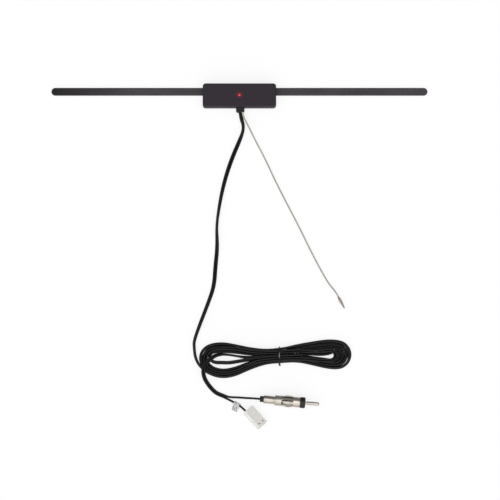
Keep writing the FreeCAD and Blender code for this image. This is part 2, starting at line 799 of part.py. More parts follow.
def band(grow, bevel):
    """Solid of the hank's waist, grown all round, with bevelled edges."""
    low = TIE_LOW - grow
    high = TIE_HIGH + grow
    bottom = value("tie_proud") - grow
    top = value("hank_height") + grow
    box = Part.makeBox(value("tie_width"), high - low, top - bottom, Vector(TIE_PLACE, low, bottom))
    long_edges = [edge for edge in box.Edges if near(edge.BoundBox.XLength, value("tie_width"))]
    return box.makeChamfer(bevel, long_edges)


def waist_shape():
    """The hank's narrowed waist under the tie."""
    thick = value("tie_thick")
    return band(value("tie_proud") - thick, value("hank_bevel") - thick * 0.6)


def reach_shape():
    """Upright wall of the hank's outline, where the leads run into it."""
    face = Part.Face(closed_line(HANK_OUTLINE))
    return face.extrude(Vector(0, 0, value("hank_height")))


def groove_shape():
    """All that the tie's turn takes away from the hank."""
    margin = value("hank_height")
    start = Vector(TIE_PLACE, TIE_LOW - margin, -margin)
    slab = Part.makeBox(value("tie_width"), TIE_HIGH - TIE_LOW + 2 * margin, 3 * margin, start)
    return slab.cut(waist_shape())


def tie_shape():
    thick = value("tie_thick")
    proud = value("tie_proud")
    loop = band(proud, value("hank_bevel")).cut(waist_shape())
    width = value("tie_tail_width")
    length = value("tie_tail_length")
    corner = Vector(TIE_PLACE, TIE_LOW - proud + thick / 2 - length, (value("hank_height") - width) / 2)
    return loop.fuse(Part.makeBox(value("tie_width"), length, width, corner))


soft_solid("hank_tie", tie_shape())
hank_body = soft_solid("hank_body", hank_shape(), counted=False)
hank = doc.addObject("Part::Cut", "lead_hank")
hank.Base = hank_body
hank.Tool = soft_solid("tie_groove", groove_shape(), counted=False)
hank.Label = "lead_hank"
nodes.append(hank)
hank_reach = soft_solid("hank_reach", reach_shape(), counted=False)

# Upper lead, flat from the gland to the hank's left lobe
UPPER_ROUTE = (
    (1.0, -19.4, 3.3), (4.6, -30.6, 1.6), (0.4, -42.6, 1.1), (-5.0, -55.0, 1.1),
    (-10.8, -70.8, 1.1), (-15.7, -88.6, 1.1), (-19.2, -107.0, 1.1), (-21.8, -126.0, 1.1),
    (-20.8, -146.0, 1.1), (-22.7, -165.0, 1.1), (-24.4, -184.0, 1.1), (-30.2, -201.0, 1.1),
    (-37.2, -219.5, 1.1), (-43.4, -236.6, 1.1), (-42.8, -248.0, 1.1), (-36.6, -256.4, 1.1),
)
gland_back = value(f"-{GLAND_BACK}")
upper_points = [Vector(value("lead_exit"), gland_back, value("lead_level"))] + points_of(UPPER_ROUTE)
upper_solid = sweep("lead_upper", upper_points, flat_section(upper_points), flat=True)
upper_sweep = soft_solid("upper_sweep", upper_solid, counted=False)

# Lower lead, flat from the hank to the place where its two strands part
LOWER_ROUTE = (
    (-30.0, -253.7, 1.1), (-34.2, -262.4, 1.1), (-33.4, -271.4, 1.1), (-27.4, -280.0, 1.1),
    (-21.2, -285.4, 1.1), (-14.6, -288.6, 1.1),
)
lower_points = points_of(LOWER_ROUTE)
lower_solid = sweep("lead_lower", lower_points, flat_section(lower_points), flat=True)
lower_sweep = soft_solid("lower_sweep", lower_solid, counted=False)
for label, swept in (("lead_upper", upper_sweep), ("lead_lower", lower_sweep)):
    trimmed = doc.addObject("Part::Cut", label)
    trimmed.Base = swept
    trimmed.Tool = hank_reach
    trimmed.Label = label
    nodes.append(trimmed)

# Antenna plug: turned and rolled pieces about one axis, lying on the collar
plug_frame = Placement(
    Vector(value("plug_x"), value("plug_y"), value("collar_width / 2")),
    Rotation(Vector(0, 0, 1), value("plug_turn")),
)


def turned(label, profile, roll="0"):
    """Body of revolution about the plug's axis, turned about that axis and laid in its place."""
    body = new_body(label)
    sketch = new_sketch(body, "XY_Plane")
    polygon(sketch, profile)
    revolve(body, sketch, "H_Axis")
    body.Placement = plug_frame * Placement(Vector(), Rotation(Vector(1, 0, 0), value(roll)))
    return body


def at_home(body, make):
    """Shape a body in its own frame, so that edges and sketches keep the plug's own axes."""
    placed = body.Placement
    body.Placement = Placement()
    make()
    body.Placement = placed


boot_bore = "(strand_width / 2 + lead_gap)"
boot_end = "(boot_length + boot_insert)"
turned("plug_boot", (
    ("0", boot_bore),
    ("0", "boot_width / 2"),
    ("boot_length", "boot_width / 2"),
    ("boot_length", f"{BARREL_BORE} - fit_gap"),
    (boot_end, f"{BARREL_BORE} - fit_gap"),
    (boot_end, boot_bore),
))

barrel_front = f"({SLEEVE_START} + sleeve_end)"
barrel = turned("plug_barrel", (
    (BARREL_START, BARREL_BORE),
    (BARREL_START, "barrel_width / 2"),
    (barrel_front, "barrel_width / 2"),
    (barrel_front, f"{SLEEVE_BORE} - fit_gap"),
    (f"{barrel_front} + barrel_rim", f"{SLEEVE_BORE} - fit_gap"),
    (f"{barrel_front} + barrel_rim", BARREL_BORE),
), "seam_turn")


def cut_seam():
    seam = new_sketch(barrel, "XY_Plane")
    rectangle(seam, BARREL_START, f"{barrel_front} + barrel_rim", "-seam_width / 2", "seam_width / 2")
    pocket(barrel, seam, backwards=True)


at_home(barrel, cut_seam)

sleeve = turned("plug_sleeve", (
    (SLEEVE_START, "barrel_width / 2 + fit_gap"),
    (SLEEVE_START, "sleeve_width / 2"),
    (COLLAR_START, "sleeve_width / 2"),
    (COLLAR_START, SLEEVE_BORE),
    (barrel_front, SLEEVE_BORE),
    (barrel_front, "barrel_width / 2 + fit_gap"),
), "180 / window_count")
window_rear = f"({SLEEVE_START} + window_setback)"
window_front = f"({window_rear} + window_length)"


leaf_rear = f"({window_rear} + leaf_slack)"
leaf_front = f"({window_front} + leaf_root)"


def leaf_arc(sketch, radius):
    """Arc along a leaf that bows out of its window, fixed at the front and free at the rear."""
    rear = value(leaf_rear)
    front = value(leaf_front)
    low = value(radius)
    crest = Vector((rear + front) / 2, low + value("leaf_rise"), 0)
    geometry = sketch.addGeometry(Part.Arc(Vector(front, low, 0), crest, Vector(rear, low, 0)))
    half = "((window_length + leaf_root - leaf_slack) / 2)"
    bind(sketch, "Radius", (geometry,), f"({half} * {half} + leaf_rise * leaf_rise) / (2 * leaf_rise)")
    hold(sketch, geometry, 1, leaf_front, radius)
    hold(sketch, geometry, 2, leaf_rear, radius)
    return geometry


def cut_windows():
    window = new_sketch(sleeve, "XY_Plane")
    rectangle(window, window_rear, window_front, "-window_width / 2", "window_width / 2")
    opening = pocket(sleeve, window, backwards=True)
    bow = new_sketch(sleeve, "XZ_Plane")
    outer = leaf_arc(bow, "sleeve_width / 2 - leaf_sink")
    inner = leaf_arc(bow, "sleeve_width / 2 - leaf_sink - leaf_thick")
    for point in (1, 2):
        ends = [bow.getPoint(geometry, point) for geometry in (outer, inner)]
        side = bow.addGeometry(Part.LineSegment(*ends))
        bow.addConstraint(Sketcher.Constraint("Coincident", side, 1, outer, point))
        bow.addConstraint(Sketcher.Constraint("Coincident", side, 2, inner, point))
    leaf = pad(sleeve, bow, "leaf_width", both_ways=True)
    pattern = sleeve.newObject("PartDesign::PolarPattern", "windows")
    pattern.Originals = [opening, leaf]
    axis = next(line for line in sleeve.Origin.OriginFeatures if line.Role == "X_Axis")
    pattern.Axis = (axis, [""])
    pattern.Angle = 360
    pattern.setExpression("Occurrences", tied("window_count"))
    sleeve.Tip = pattern
    doc.recompute()
    soften(sleeve, "Chamfer", "sleeve_bevel", ring_at(SLEEVE_START, "sleeve_width"))


at_home(sleeve, cut_windows)

spigot_rear = f"({COLLAR_START} - spigot_length)"
insulator_bore = "(shank_width / 2 + lead_gap)"
turned("plug_insulator", (
    (spigot_rear, insulator_bore),
    (spigot_rear, f"{SLEEVE_BORE} - fit_gap"),
    (COLLAR_START, f"{SLEEVE_BORE} - fit_gap"),
    (COLLAR_START, "collar_width / 2"),
    (f"{PIN_START} - collar_bevel", "collar_width / 2"),
    (PIN_START, "collar_width / 2 - collar_bevel"),
    (PIN_START, insulator_bore),
))

pin_rear = f"({spigot_rear} - shank_tail)"
pin_shoulder = f"({PIN_START} + shank_neck)"
pin_end = f"({PIN_START} + pin_length)"
pin = turned("plug_pin", (
    (pin_rear, "0"),
    (pin_rear, "shank_width / 2"),
    (pin_shoulder, "shank_width / 2"),
    (pin_shoulder, "pin_width / 2"),
    (f"{pin_end} - pin_tip", "pin_width / 2"),
    (f"{pin_end} - pin_tip * 0.4", "pin_width * 0.4"),
    (pin_end, "pin_width * 0.18"),
    (pin_end, "0"),
))

turned("coax_core", (
    (boot_end, "0"),
    (boot_end, "core_width / 2"),
    (pin_rear, "core_width / 2"),
    (pin_rear, "0"),
))

# Power connector: a two-way housing lying on one edge, with one contact on the power lead
lean = math.radians(abs(value("connector_roll")))
edge_round = value("connector_corner")
connector_level = edge_round
connector_level += (value("connector_thick") / 2 - edge_round) * math.cos(lean)
connector_level += (value("connector_width") / 2 - edge_round) * math.sin(lean)
connector_frame = Placement(
    Vector(value("connector_x"), value("connector_y"), connector_level),
    Rotation(Vector(0, 0, 1), value("connector_turn")) * Rotation(Vector(1, 0, 0), value("connector_roll")),
)
WAYS = ("-way_pitch / 2", "way_pitch / 2")
housing = new_body("connector_housing")
block = new_sketch(housing, "YZ_Plane", "-connector_length / 2")
rounded_rectangle(block, "connector_width / 2", "connector_thick / 2", "connector_corner")
pad(housing, block, "connector_length")
for way in WAYS:
    way_mouth = new_sketch(housing, "YZ_Plane", "connector_length / 2")
    west, east = f"{way} - way_width / 2", f"{way} + way_width / 2"
    rectangle(way_mouth, west, east, "-way_height / 2", "way_height / 2")
    pocket(housing, way_mouth, "way_depth")
    lead_entry = new_sketch(housing, "YZ_Plane", "-connector_length / 2")
    circle(lead_entry, way, "0", "strand_width + 2 * lead_gap")
    pocket(housing, lead_entry, "connector_length - way_depth", backwards=True)
    lance_window = new_sketch(housing, "XY_Plane", "connector_thick / 2")
    lance_front = "connector_length / 2 - lance_setback"
    sides = (f"{way} - lance_width / 2", f"{way} + lance_width / 2")
    rectangle(lance_window, f"{lance_front} - lance_length", lance_front, *sides)
    pocket(housing, lance_window, "connector_thick / 2")
split = new_sketch(housing, "XY_Plane", "-connector_thick / 2")
split_rear = "connector_length / 2 - split_depth"
rectangle(split, split_rear, "connector_length / 2", "-split_width / 2", "split_width / 2")
pocket(housing, split, "connector_thick / 2", backwards=True)
housing.Placement = connector_frame

contact = new_body("connector_terminal")
crimp = new_sketch(contact, "YZ_Plane", CONTACT_REAR)
circle(crimp, WAYS[0], "0", "crimp_width")
pad(contact, crimp, "crimp_length")
contact_half_width = "(way_width / 2 - fit_gap)"
contact_half_height = "(way_height / 2 - fit_gap)"
box_face = new_sketch(contact, "YZ_Plane", f"{CONTACT_REAR} + crimp_length")
west, east = f"{WAYS[0]} - {contact_half_width}", f"{WAYS[0]} + {contact_half_width}"
rectangle(box_face, west, east, f"-{contact_half_height}", contact_half_height)
pad(contact, box_face, "contact_length")
contact_mouth = new_sketch(contact, "YZ_Plane", "connector_length / 2 - contact_setback")
west, east = f"{west} + contact_wall", f"{east} - contact_wall"
rectangle(contact_mouth, west, east, *sides_of(f"{contact_half_height} - contact_wall"))
pocket(contact, contact_mouth, "contact_length - contact_wall")
contact.Placement = connector_frame

# Coax tail into the plug's boot, and power tail into the connector, one strand each
TAIL_START = 4.6
TAIL_ENTRY = 6.0
strand = value("strand_width")
parting = lower_points[-1]
heading = (parting - lower_points[-2]).normalize()
sideways = Vector(0, 0, 1).cross(heading) * (strand / 2)
COAX_ROUTE = ((-1.6, -289.9, 1.2), (6.0, -290.7, 2.7))
POWER_ROUTE = ((-6.4, -294.0, 2.6),)
plug_entry = [plug_frame.multVec(Vector(x, 0, 0)) for x in (-TAIL_ENTRY, value(boot_end))]
coax_start = parting + sideways
coax_points = [coax_start, coax_start + heading * TAIL_START] + points_of(COAX_ROUTE) + plug_entry
way_offset = value(WAYS[0])
way_places = (-value("connector_length / 2") - TAIL_ENTRY, value(CONTACT_REAR))
way_entry = [connector_frame.multVec(Vector(x, way_offset, 0)) for x in way_places]
power_start = parting - sideways
power_points = [power_start, power_start + heading * TAIL_START] + points_of(POWER_ROUTE) + way_entry
soft_solid("coax_tail", sweep("coax_tail", coax_points, round_section(coax_points, strand)))
soft_solid("power_tail", sweep("power_tail", power_points, round_section(power_points, strand)))

# Paper flag folded round the power tail, its free end drooping
flag_run = power_points[3] - power_points[2]
flag_middle = power_points[2] + flag_run * 0.5
flag_yaw = math.degrees(math.atan2(flag_run.y, flag_run.x))
flag_pitch = -math.degrees(math.asin(flag_run.z / flag_run.Length))
flag = new_body("wire_tag")
loop_face = new_sketch(flag, "YZ_Plane")
circle(loop_face, "0", "0", "flag_bore + 2 * flag_thick")
pad(flag, loop_face, "flag_length", both_ways=True)
leaf_face = new_sketch(flag, "XY_Plane")
rectangle(leaf_face, "-flag_length / 2", "flag_length / 2", "-flag_reach", "-flag_bore / 2")
pad(flag, leaf_face, "flag_thick", both_ways=True)
flag_hole = new_sketch(flag, "YZ_Plane")
circle(flag_hole, "0", "0", "flag_bore")
pocket(flag, flag_hole, both_ways=True)
flag_turn = Rotation(Vector(0, 0, 1), flag_yaw) * Rotation(Vector(0, 1, 0), flag_pitch)
flag.Placement = Placement(flag_middle, flag_turn * Rotation(Vector(1, 0, 0), value("flag_droop")))

# Single grey wire
WIRE_ROUTE = (
    (2.6, -18.4, 5.8), (8.0, -28.0, 3.2), (14.4, -41.2, 1.0), (25.0, -61.5, 0.8), (33.4, -80.5, 0.8),
    (44.6, -103.0, 0.8), (56.4, -126.0, 0.8), (66.6, -147.5, 0.8), (77.8, -169.5, 0.8), (85.4, -182.6, 0.8),
    (90.8, -188.6, 1.7), (93.6, -193.9, 1.7),
)
wire_points = [Vector(value("wire_exit"), gland_back, value("wire_level"))] + points_of(WIRE_ROUTE)
wire_width = value("wire_width")
soft_solid("ground_wire", sweep("ground_wire", wire_points, round_section(wire_points, wire_width)))

# Holes through the gland, one round each lead
holes = []
for label, route in (("lead hole", upper_points[:3]), ("wire hole", wire_points[:3])):
    outward = (route[0] - route[1]).normalize()
    route = [route[0] + outward] + route[1:]
    room = value("lead_gap")
    if label == "lead hole":
        holes.append(sweep(label, route, flat_section(route, room), flat=True))
    else:
        holes.append(sweep(label, route, round_section(route, wire_width + 2 * room)))
pierced = doc.addObject("Part::Cut", "cable_grommet")
pierced.Base = gland
pierced.Tool = soft_solid("gland_holes", Part.makeCompound(holes), counted=False)
pierced.Label = "cable_grommet"
nodes.append(pierced)

# Bare end of the wire: its loose strands as one spindle
end_run = (wire_points[-1] - wire_points[-2]).normalize()
end_rings = []
for share, width in ((0, "wire_width"), (0.3, "bare_end_width"), (1, "bare_end_tip")):
    start = wire_points[-1] + end_run * (share * value("bare_end_length"))
    ring = round_section([start, start + end_run], value(width))
    end_rings.append([corner.Point for corner in ring.OrderedVertexes])


def flat_face(corners):
    return Part.Face(Part.makePolygon(corners + corners[:1]))


end_faces = [flat_face(end_rings[0]), flat_face(end_rings[-1])]
for first, second in zip(end_rings, end_rings[1:]):
    for index in range(len(first)):
        following = (index + 1) % len(first)
        end_faces.append(flat_face([first[index], first[following], second[following], second[index]]))
soft_solid("ground_wire_end", Part.Solid(Part.Shell(end_faces)))

# Check every object and write one file for each node
doc.recompute()
for item in doc.Objects:
    if "Invalid" in item.State or "Error" in item.State:
        raise RuntimeError(f"{item.Label} failed: {item.State}")
for node in nodes:
    if node.Shape.isNull() or not node.Shape.isValid():
        raise RuntimeError(f"{node.Label} has no valid shape")
os.makedirs("parts", exist_ok=True)
for node in nodes:
    node.Shape.exportStep(f"parts/{node.Label}.step")
print(len(nodes), "nodes written")
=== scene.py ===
import math

import bmesh
import bpy
from mathutils import Matrix, Vector


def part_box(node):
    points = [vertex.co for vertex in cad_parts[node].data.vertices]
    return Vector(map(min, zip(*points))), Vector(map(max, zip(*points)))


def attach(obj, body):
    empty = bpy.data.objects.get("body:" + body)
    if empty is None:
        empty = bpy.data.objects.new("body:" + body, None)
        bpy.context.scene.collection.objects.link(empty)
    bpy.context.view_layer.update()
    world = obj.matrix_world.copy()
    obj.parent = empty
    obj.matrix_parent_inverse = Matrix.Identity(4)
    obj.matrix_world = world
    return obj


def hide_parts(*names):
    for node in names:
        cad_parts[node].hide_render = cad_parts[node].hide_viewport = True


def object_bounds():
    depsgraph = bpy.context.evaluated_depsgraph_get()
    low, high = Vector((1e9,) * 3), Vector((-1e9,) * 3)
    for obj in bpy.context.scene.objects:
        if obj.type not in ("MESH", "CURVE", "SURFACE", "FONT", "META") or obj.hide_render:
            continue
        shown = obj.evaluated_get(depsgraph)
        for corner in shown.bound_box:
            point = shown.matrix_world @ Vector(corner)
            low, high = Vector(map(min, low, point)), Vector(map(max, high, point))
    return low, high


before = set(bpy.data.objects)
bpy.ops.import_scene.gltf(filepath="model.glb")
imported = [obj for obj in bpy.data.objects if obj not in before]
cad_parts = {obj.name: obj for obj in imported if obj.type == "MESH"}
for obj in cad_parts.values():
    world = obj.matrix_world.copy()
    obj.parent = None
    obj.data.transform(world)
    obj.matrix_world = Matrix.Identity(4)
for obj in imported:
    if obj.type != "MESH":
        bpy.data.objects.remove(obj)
cad_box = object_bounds()

# Amplifier cover: a black ABS shell moulded in one piece, open below, with a fine matt mould texture.
# It snaps over the back plate, and the indicator lamp stands through the hole in its middle.
MM = 0.001
# A noise pattern lies mostly between these two values.
NOISE_LOW = 0.3
NOISE_HIGH = 0.7
PATCH_DETAIL = 2.0
GRAIN_DETAIL = 3.0
GLOSS_SPREAD = 0.15


def add(material, kind):
    """New node of a kind in a material or the sky."""
    return material.node_tree.nodes.new("ShaderNode" + kind)


def join(material, source, target):
    """Link one node's output to another's input."""
    material.node_tree.links.new(source, target)


def new_finish(name, roughness, metallic=0.0, shine=0.5):
    """Material with its shader's plain values set."""
    material = bpy.data.materials.new(name)
    material.use_nodes = True
    shader = material.node_tree.nodes["Principled BSDF"]
    shader.inputs["Roughness"].default_value = roughness
    shader.inputs["Metallic"].default_value = metallic
    shader.inputs["Specular IOR Level"].default_value = shine
    return material, shader


def cloudy(material, size, stretch=(1, 1, 1), detail=PATCH_DETAIL):
    """Uneven pattern on the piece's own coordinates, with patches of a size in millimetres."""
    place = add(material, "TexCoord")
    squeeze = add(material, "Mapping")
    squeeze.inputs["Scale"].default_value = stretch
    noise = add(material, "TexNoise")
    noise.inputs["Scale"].default_value = 1 / (size * MM)
    noise.inputs["Detail"].default_value = detail
    join(material, place.outputs["Object"], squeeze.inputs["Vector"])
    join(material, squeeze.outputs["Vector"], noise.inputs["Vector"])
    return noise.outputs["Fac"]


def tone(material, factor, dark, light, low=NOISE_LOW, high=NOISE_HIGH):
    """Colour from dark to light as a pattern goes from low to high."""
    ramp = add(material, "ValToRGB")
    for element, position, colour in zip(ramp.color_ramp.elements, (low, high), (dark, light)):
        element.position = position
        element.color = (*colour, 1)
    join(material, factor, ramp.inputs["Fac"])
    return ramp.outputs["Color"]


def spread(material, factor, low, high):
    """Number from low to high as a noise pattern goes over its range."""
    span = add(material, "MapRange")
    span.inputs["From Min"].default_value = NOISE_LOW
    span.inputs["From Max"].default_value = NOISE_HIGH
    span.inputs["To Min"].default_value = low
    span.inputs["To Max"].default_value = high
    join(material, factor, span.inputs["Value"])
    return span.outputs["Result"]


def emboss(material, factor, depth):
    """Raise the surface by a pattern, by a depth in millimetres."""
    bump = add(material, "Bump")
    bump.inputs["Distance"].default_value = depth * MM
    join(material, factor, bump.inputs["Height"])
    shader = material.node_tree.nodes["Principled BSDF"]
    join(material, bump.outputs["Normal"], shader.inputs["Normal"])


def uneven_gloss(material, roughness, patches, grain, depth, stretch=(1, 1, 1)):
    """Vary a finish's gloss by a pattern, and put a fine grain on it; sizes in millimetres."""
    gloss = spread(material, patches, roughness * (1 - GLOSS_SPREAD), roughness * (1 + GLOSS_SPREAD))
    shader = material.node_tree.nodes["Principled BSDF"]
    join(material, gloss, shader.inputs["Roughness"])
    emboss(material, cloudy(material, grain, stretch, GRAIN_DETAIL), depth)


def uneven_finish(
    name, dark, light, roughness, patch, grain, depth, metallic=0.0, stretch=(1, 1, 1), shine=0.5,
):
    """Finish whose colour and gloss vary in patches, with a fine grain on top; sizes in millimetres."""
    material, shader = new_finish(name, roughness, metallic, shine)
    patches = cloudy(material, patch, stretch)
    join(material, tone(material, patches, dark, light), shader.inputs["Base Color"])
    uneven_gloss(material, roughness, patches, grain, depth, stretch)
    return material


def dress(material, *names):
    """Give CAD nodes a finish."""
    for name in names:
        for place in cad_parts[name].material_slots:
            place.material = material


def reach_from_lamp(material):
    """Distance of a point from the lamp's axis, seen along that axis."""
    place = add(material, "TexCoord")
    flat = add(material, "VectorMath")
    flat.operation = "MULTIPLY"
    flat.inputs[1].default_value = (1, 1, 0)
    reach = add(material, "VectorMath")
    reach.operation = "LENGTH"
    join(material, place.outputs["Object"], flat.inputs[0])
    join(material, flat.outputs["Vector"], reach.inputs[0])
    return reach.outputs["Value"]


SHELL_DARK = (0.0195, 0.0145, 0.0215)
SHELL_LIGHT = (0.0255, 0.0195, 0.028)
SHELL_SHINE = 0.22
# Painted glow: the shell emits the lit lamp's red light round its hole, fading out between these two
# distances.
PAINTED_GLOW_START = 1.3 * MM
PAINTED_GLOW_END = 3.8 * MM
PAINTED_GLOW_RED = (0.12, 0.001, 0.004)
UNLIT = (0, 0, 0)
shell_black = uneven_finish(
    "moulded_shell", dark=SHELL_DARK, light=SHELL_LIGHT,
    roughness=0.6, patch=6, grain=0.25, depth=0.02, shine=SHELL_SHINE,
)
# Painted light: red emission on the shell stands in for the lamp's light falling round its hole.
painted_glow_share = add(shell_black, "MapRange")
painted_glow_share.inputs["From Min"].default_value = PAINTED_GLOW_START
painted_glow_share.inputs["From Max"].default_value = PAINTED_GLOW_END
join(shell_black, reach_from_lamp(shell_black), painted_glow_share.inputs["Value"])
painted_glow_red = tone(shell_black, painted_glow_share.outputs["Result"], PAINTED_GLOW_RED, UNLIT, 0.0, 1.0)
shell_shader = shell_black.node_tree.nodes["Principled BSDF"]
join(shell_black, painted_glow_red, shell_shader.inputs["Emission Color"])
shell_shader.inputs["Emission Strength"].default_value = 1.0
dress(shell_black, "amp_cover")

# Back plate: a black ABS plate pressed into the cover's rebate, with ribs, and posts for the board.
# Foam tape die-cut to its outline holds it to the glass.
plate_black = uneven_finish(
    "moulded_plate", dark=(0.006, 0.006, 0.007), light=(0.011, 0.011, 0.012),
    roughness=0.5, patch=5, grain=0.3, depth=0.02,
)
dress(plate_black, "amp_base")
foam_grey = uneven_finish(
    "foam_tape", dark=(0.02, 0.02, 0.022), light=(0.05, 0.05, 0.052),
    roughness=0.9, patch=1.2, grain=0.35, depth=0.12,
)
dress(foam_grey, "base_tape", "left_tape", "right_tape")

# Circuit board: glass-fibre laminate under green solder mask, seated on the posts and pinned by two spigots.
# The etched tracks show through the mask as lighter green lines.
TRACK_PITCH = 6 * MM
TRACK_WIDTH = 0.06
TRACK_DEPTH = 0.03
MASK_GLOSS = 0.3
MASK_COLOURS = {
    "Color1": (0.012, 0.09, 0.03, 1),
    "Color2": (0.014, 0.1, 0.034, 1),
    "Mortar": (0.05, 0.2, 0.07, 1),
}
board_green, board_shader = new_finish("solder_mask", MASK_GLOSS)
tracks = add(board_green, "TexBrick")
tracks.inputs["Scale"].default_value = 1 / TRACK_PITCH
tracks.inputs["Mortar Size"].default_value = TRACK_WIDTH
for place, colour in MASK_COLOURS.items():
    tracks.inputs[place].default_value = colour
board_place = add(board_green, "TexCoord")
join(board_green, board_place.outputs["Object"], tracks.inputs["Vector"])
join(board_green, tracks.outputs["Color"], board_shader.inputs["Base Color"])
emboss(board_green, tracks.outputs["Fac"], TRACK_DEPTH)
dress(board_green, "circuit_board")

# Board components: two transistors, two drum chokes, a filter capacitor, and chip capacitors and resistors.
# They are ceramic, ferrite and epoxy mouldings soldered flat to the board.
epoxy_black = uneven_finish(
    "epoxy_moulding", dark=(0.008, 0.008, 0.009), light=(0.02, 0.02, 0.021),
    roughness=0.55, patch=0.8, grain=0.1, depth=0.01,
)
ferrite_black = uneven_finish(
    "ferrite_drum", dark=(0.01, 0.01, 0.011), light=(0.03, 0.028, 0.027),
    roughness=0.65, patch=0.9, grain=0.12, depth=0.02,
)
filter_yellow = uneven_finish(
    "filter_moulding", dark=(0.5, 0.3, 0.03), light=(0.62, 0.38, 0.05),
    roughness=0.4, patch=1.5, grain=0.1, depth=0.01,
)
ceramic_tan = uneven_finish(
    "fired_ceramic", dark=(0.32, 0.22, 0.13), light=(0.42, 0.3, 0.19),
    roughness=0.6, patch=0.6, grain=0.08, depth=0.01,
)
film_black = uneven_finish(
    "resistor_film", dark=(0.006, 0.006, 0.007), light=(0.016, 0.016, 0.017),
    roughness=0.35, patch=0.7, grain=0.1, depth=0.005,
)
dress(epoxy_black, "amplifier_transistors")
dress(ferrite_black, "choke_coils")
dress(filter_yellow, "filter_capacitor")
dress(ceramic_tan, "chip_capacitors")
dress(film_black, "chip_resistors")

# Indicator lamp: a 3 mm domed lamp cast in red epoxy on two tinned legs, standing through the cover's hole.
# It is lit, so that the middle of the dome glows and its rim stays dark red.
LAMP_WIDTH = 3.0 * MM
LAMP_FLANGE_WIDTH = 3.8 * MM
LAMP_FLANGE_THICK = 1.0 * MM
LAMP_DOME = 1.2 * MM
LAMP_PITCH = 2.54 * MM
LAMP_LEG = 0.5 * MM
LAMP_STEPS = 32
DOME_STEPS = 8
LAMP_GLOSS = 0.16
LAMP_GLOW = 0.75
GLOW_MIDDLE = (0.7, 0.085, 0.12)
GLOW_RIM = (0.16, 0.001, 0.006)
GLOW_CORE = 0.25
EPOXY_PATCH = 0.7
EPOXY_DARK = (0.16, 0.004, 0.008)
EPOXY_LIGHT = (0.24, 0.008, 0.012)
FULL_TURN = 2 * math.pi
ROUND_STEPS = 48
CORNER_STEPS = 6
MERGE_REACH = 0.001 * MM
SHARP_ANGLE = math.radians(40)


def turned(profile, closed=False, angle=FULL_TURN, steps=ROUND_STEPS):
    """Shape of a profile of (radius, height) points turned about the third axis."""
    shape = bmesh.new()
    line = [shape.verts.new((radius, 0, height)) for radius, height in profile]
    edges = [shape.edges.new(pair) for pair in zip(line, line[1:])]
    if closed:
        edges.append(shape.edges.new((line[-1], line[0])))
    full = angle == FULL_TURN
    bmesh.ops.spin(shape, geom=line + edges, axis=(0, 0, 1), angle=angle, steps=steps, use_merge=full)
    bmesh.ops.remove_doubles(shape, verts=shape.verts, dist=MERGE_REACH)
    if not full:
        rims = [edge for edge in shape.edges if edge.is_boundary]
        bmesh.ops.holes_fill(shape, edges=rims)
    bmesh.ops.recalc_face_normals(shape, faces=shape.faces)
    return shape


def quarter_round(centre_radius, centre_height, across, along, count=CORNER_STEPS):
    """Points of a quarter ellipse of a profile, from its side to its end."""
    points = []
    for step in range(count + 1):
        turn = FULL_TURN / 4 * step / count
        points.append((centre_radius + across * math.cos(turn), centre_height + along * math.sin(turn)))
    return points


def piece(name, shape, material, slot, *replaced):
    """Finished mesh piece on the root body, standing for CAD nodes."""
    mesh = bpy.data.meshes.new(name)
    shape.to_mesh(mesh)
    shape.free()
    mesh.materials.append(material)
    mesh.shade_smooth()
    mesh.set_sharp_from_angle(angle=SHARP_ANGLE)
    obj = bpy.data.objects.new(name, mesh)
    bpy.context.scene.collection.objects.link(obj)
    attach(obj, "root")
    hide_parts(*replaced)
    return obj


lamp_low, lamp_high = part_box("indicator_led")
board_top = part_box("circuit_board")[1].z
dome_base = lamp_high.z - LAMP_DOME
lamp_profile = [
    (0, board_top),
    (LAMP_FLANGE_WIDTH / 2, board_top),
    (LAMP_FLANGE_WIDTH / 2, board_top + LAMP_FLANGE_THICK),
    (LAMP_WIDTH / 2, board_top + LAMP_FLANGE_THICK),
]
lamp_profile += quarter_round(0, dome_base, LAMP_WIDTH / 2, LAMP_DOME, DOME_STEPS)
lamp_shape = turned(lamp_profile, steps=LAMP_STEPS)
leg_height = board_top - lamp_low.z
for side in (-1, 1):
    leg = bmesh.ops.create_cube(lamp_shape, size=1)["verts"]
    bmesh.ops.scale(lamp_shape, verts=leg, vec=(LAMP_LEG, LAMP_LEG, leg_height))
    middle = Vector((side * LAMP_PITCH / 2, 0, board_top - leg_height / 2))
    bmesh.ops.translate(lamp_shape, verts=leg, vec=middle)
lamp_red, lamp_shader = new_finish("lit_red_lamp", LAMP_GLOSS)
lamp_share = add(lamp_red, "MapRange")
lamp_share.inputs["From Max"].default_value = LAMP_WIDTH / 2
join(lamp_red, reach_from_lamp(lamp_red), lamp_share.inputs["Value"])
glow = tone(lamp_red, lamp_share.outputs["Result"], GLOW_MIDDLE, GLOW_RIM, GLOW_CORE, 1.0)
join(lamp_red, glow, lamp_shader.inputs["Emission Color"])
lamp_shader.inputs["Emission Strength"].default_value = LAMP_GLOW
lamp_body = tone(lamp_red, cloudy(lamp_red, EPOXY_PATCH), EPOXY_DARK, EPOXY_LIGHT)
join(lamp_red, lamp_body, lamp_shader.inputs["Base Color"])
piece("red_indicator_lamp", lamp_shape, lamp_red, "lamp_red", "indicator_led")

# Strip arms: flat springy strips in matt black film, with bevelled edges and half-round tips.
# They are taped to the glass, and each is riveted at its root to a bent brass tab soldered under the board.
FILM_DARK = (0.036, 0.031, 0.036)
FILM_LIGHT = (0.058, 0.0515, 0.058)
FILM_SHINE = 0.25
FILM_SMOOTH = 0.5
FILM_ROUGH = 0.7
FILM_STREAK = 3
FILM_GRAIN = 0.3
FILM_DEPTH = 0.02
STREAK_STRETCH = (0.12, 1, 1)
STREAK_DETAIL = 4.0
GRAIN_STRETCH = (0.3, 1, 1)
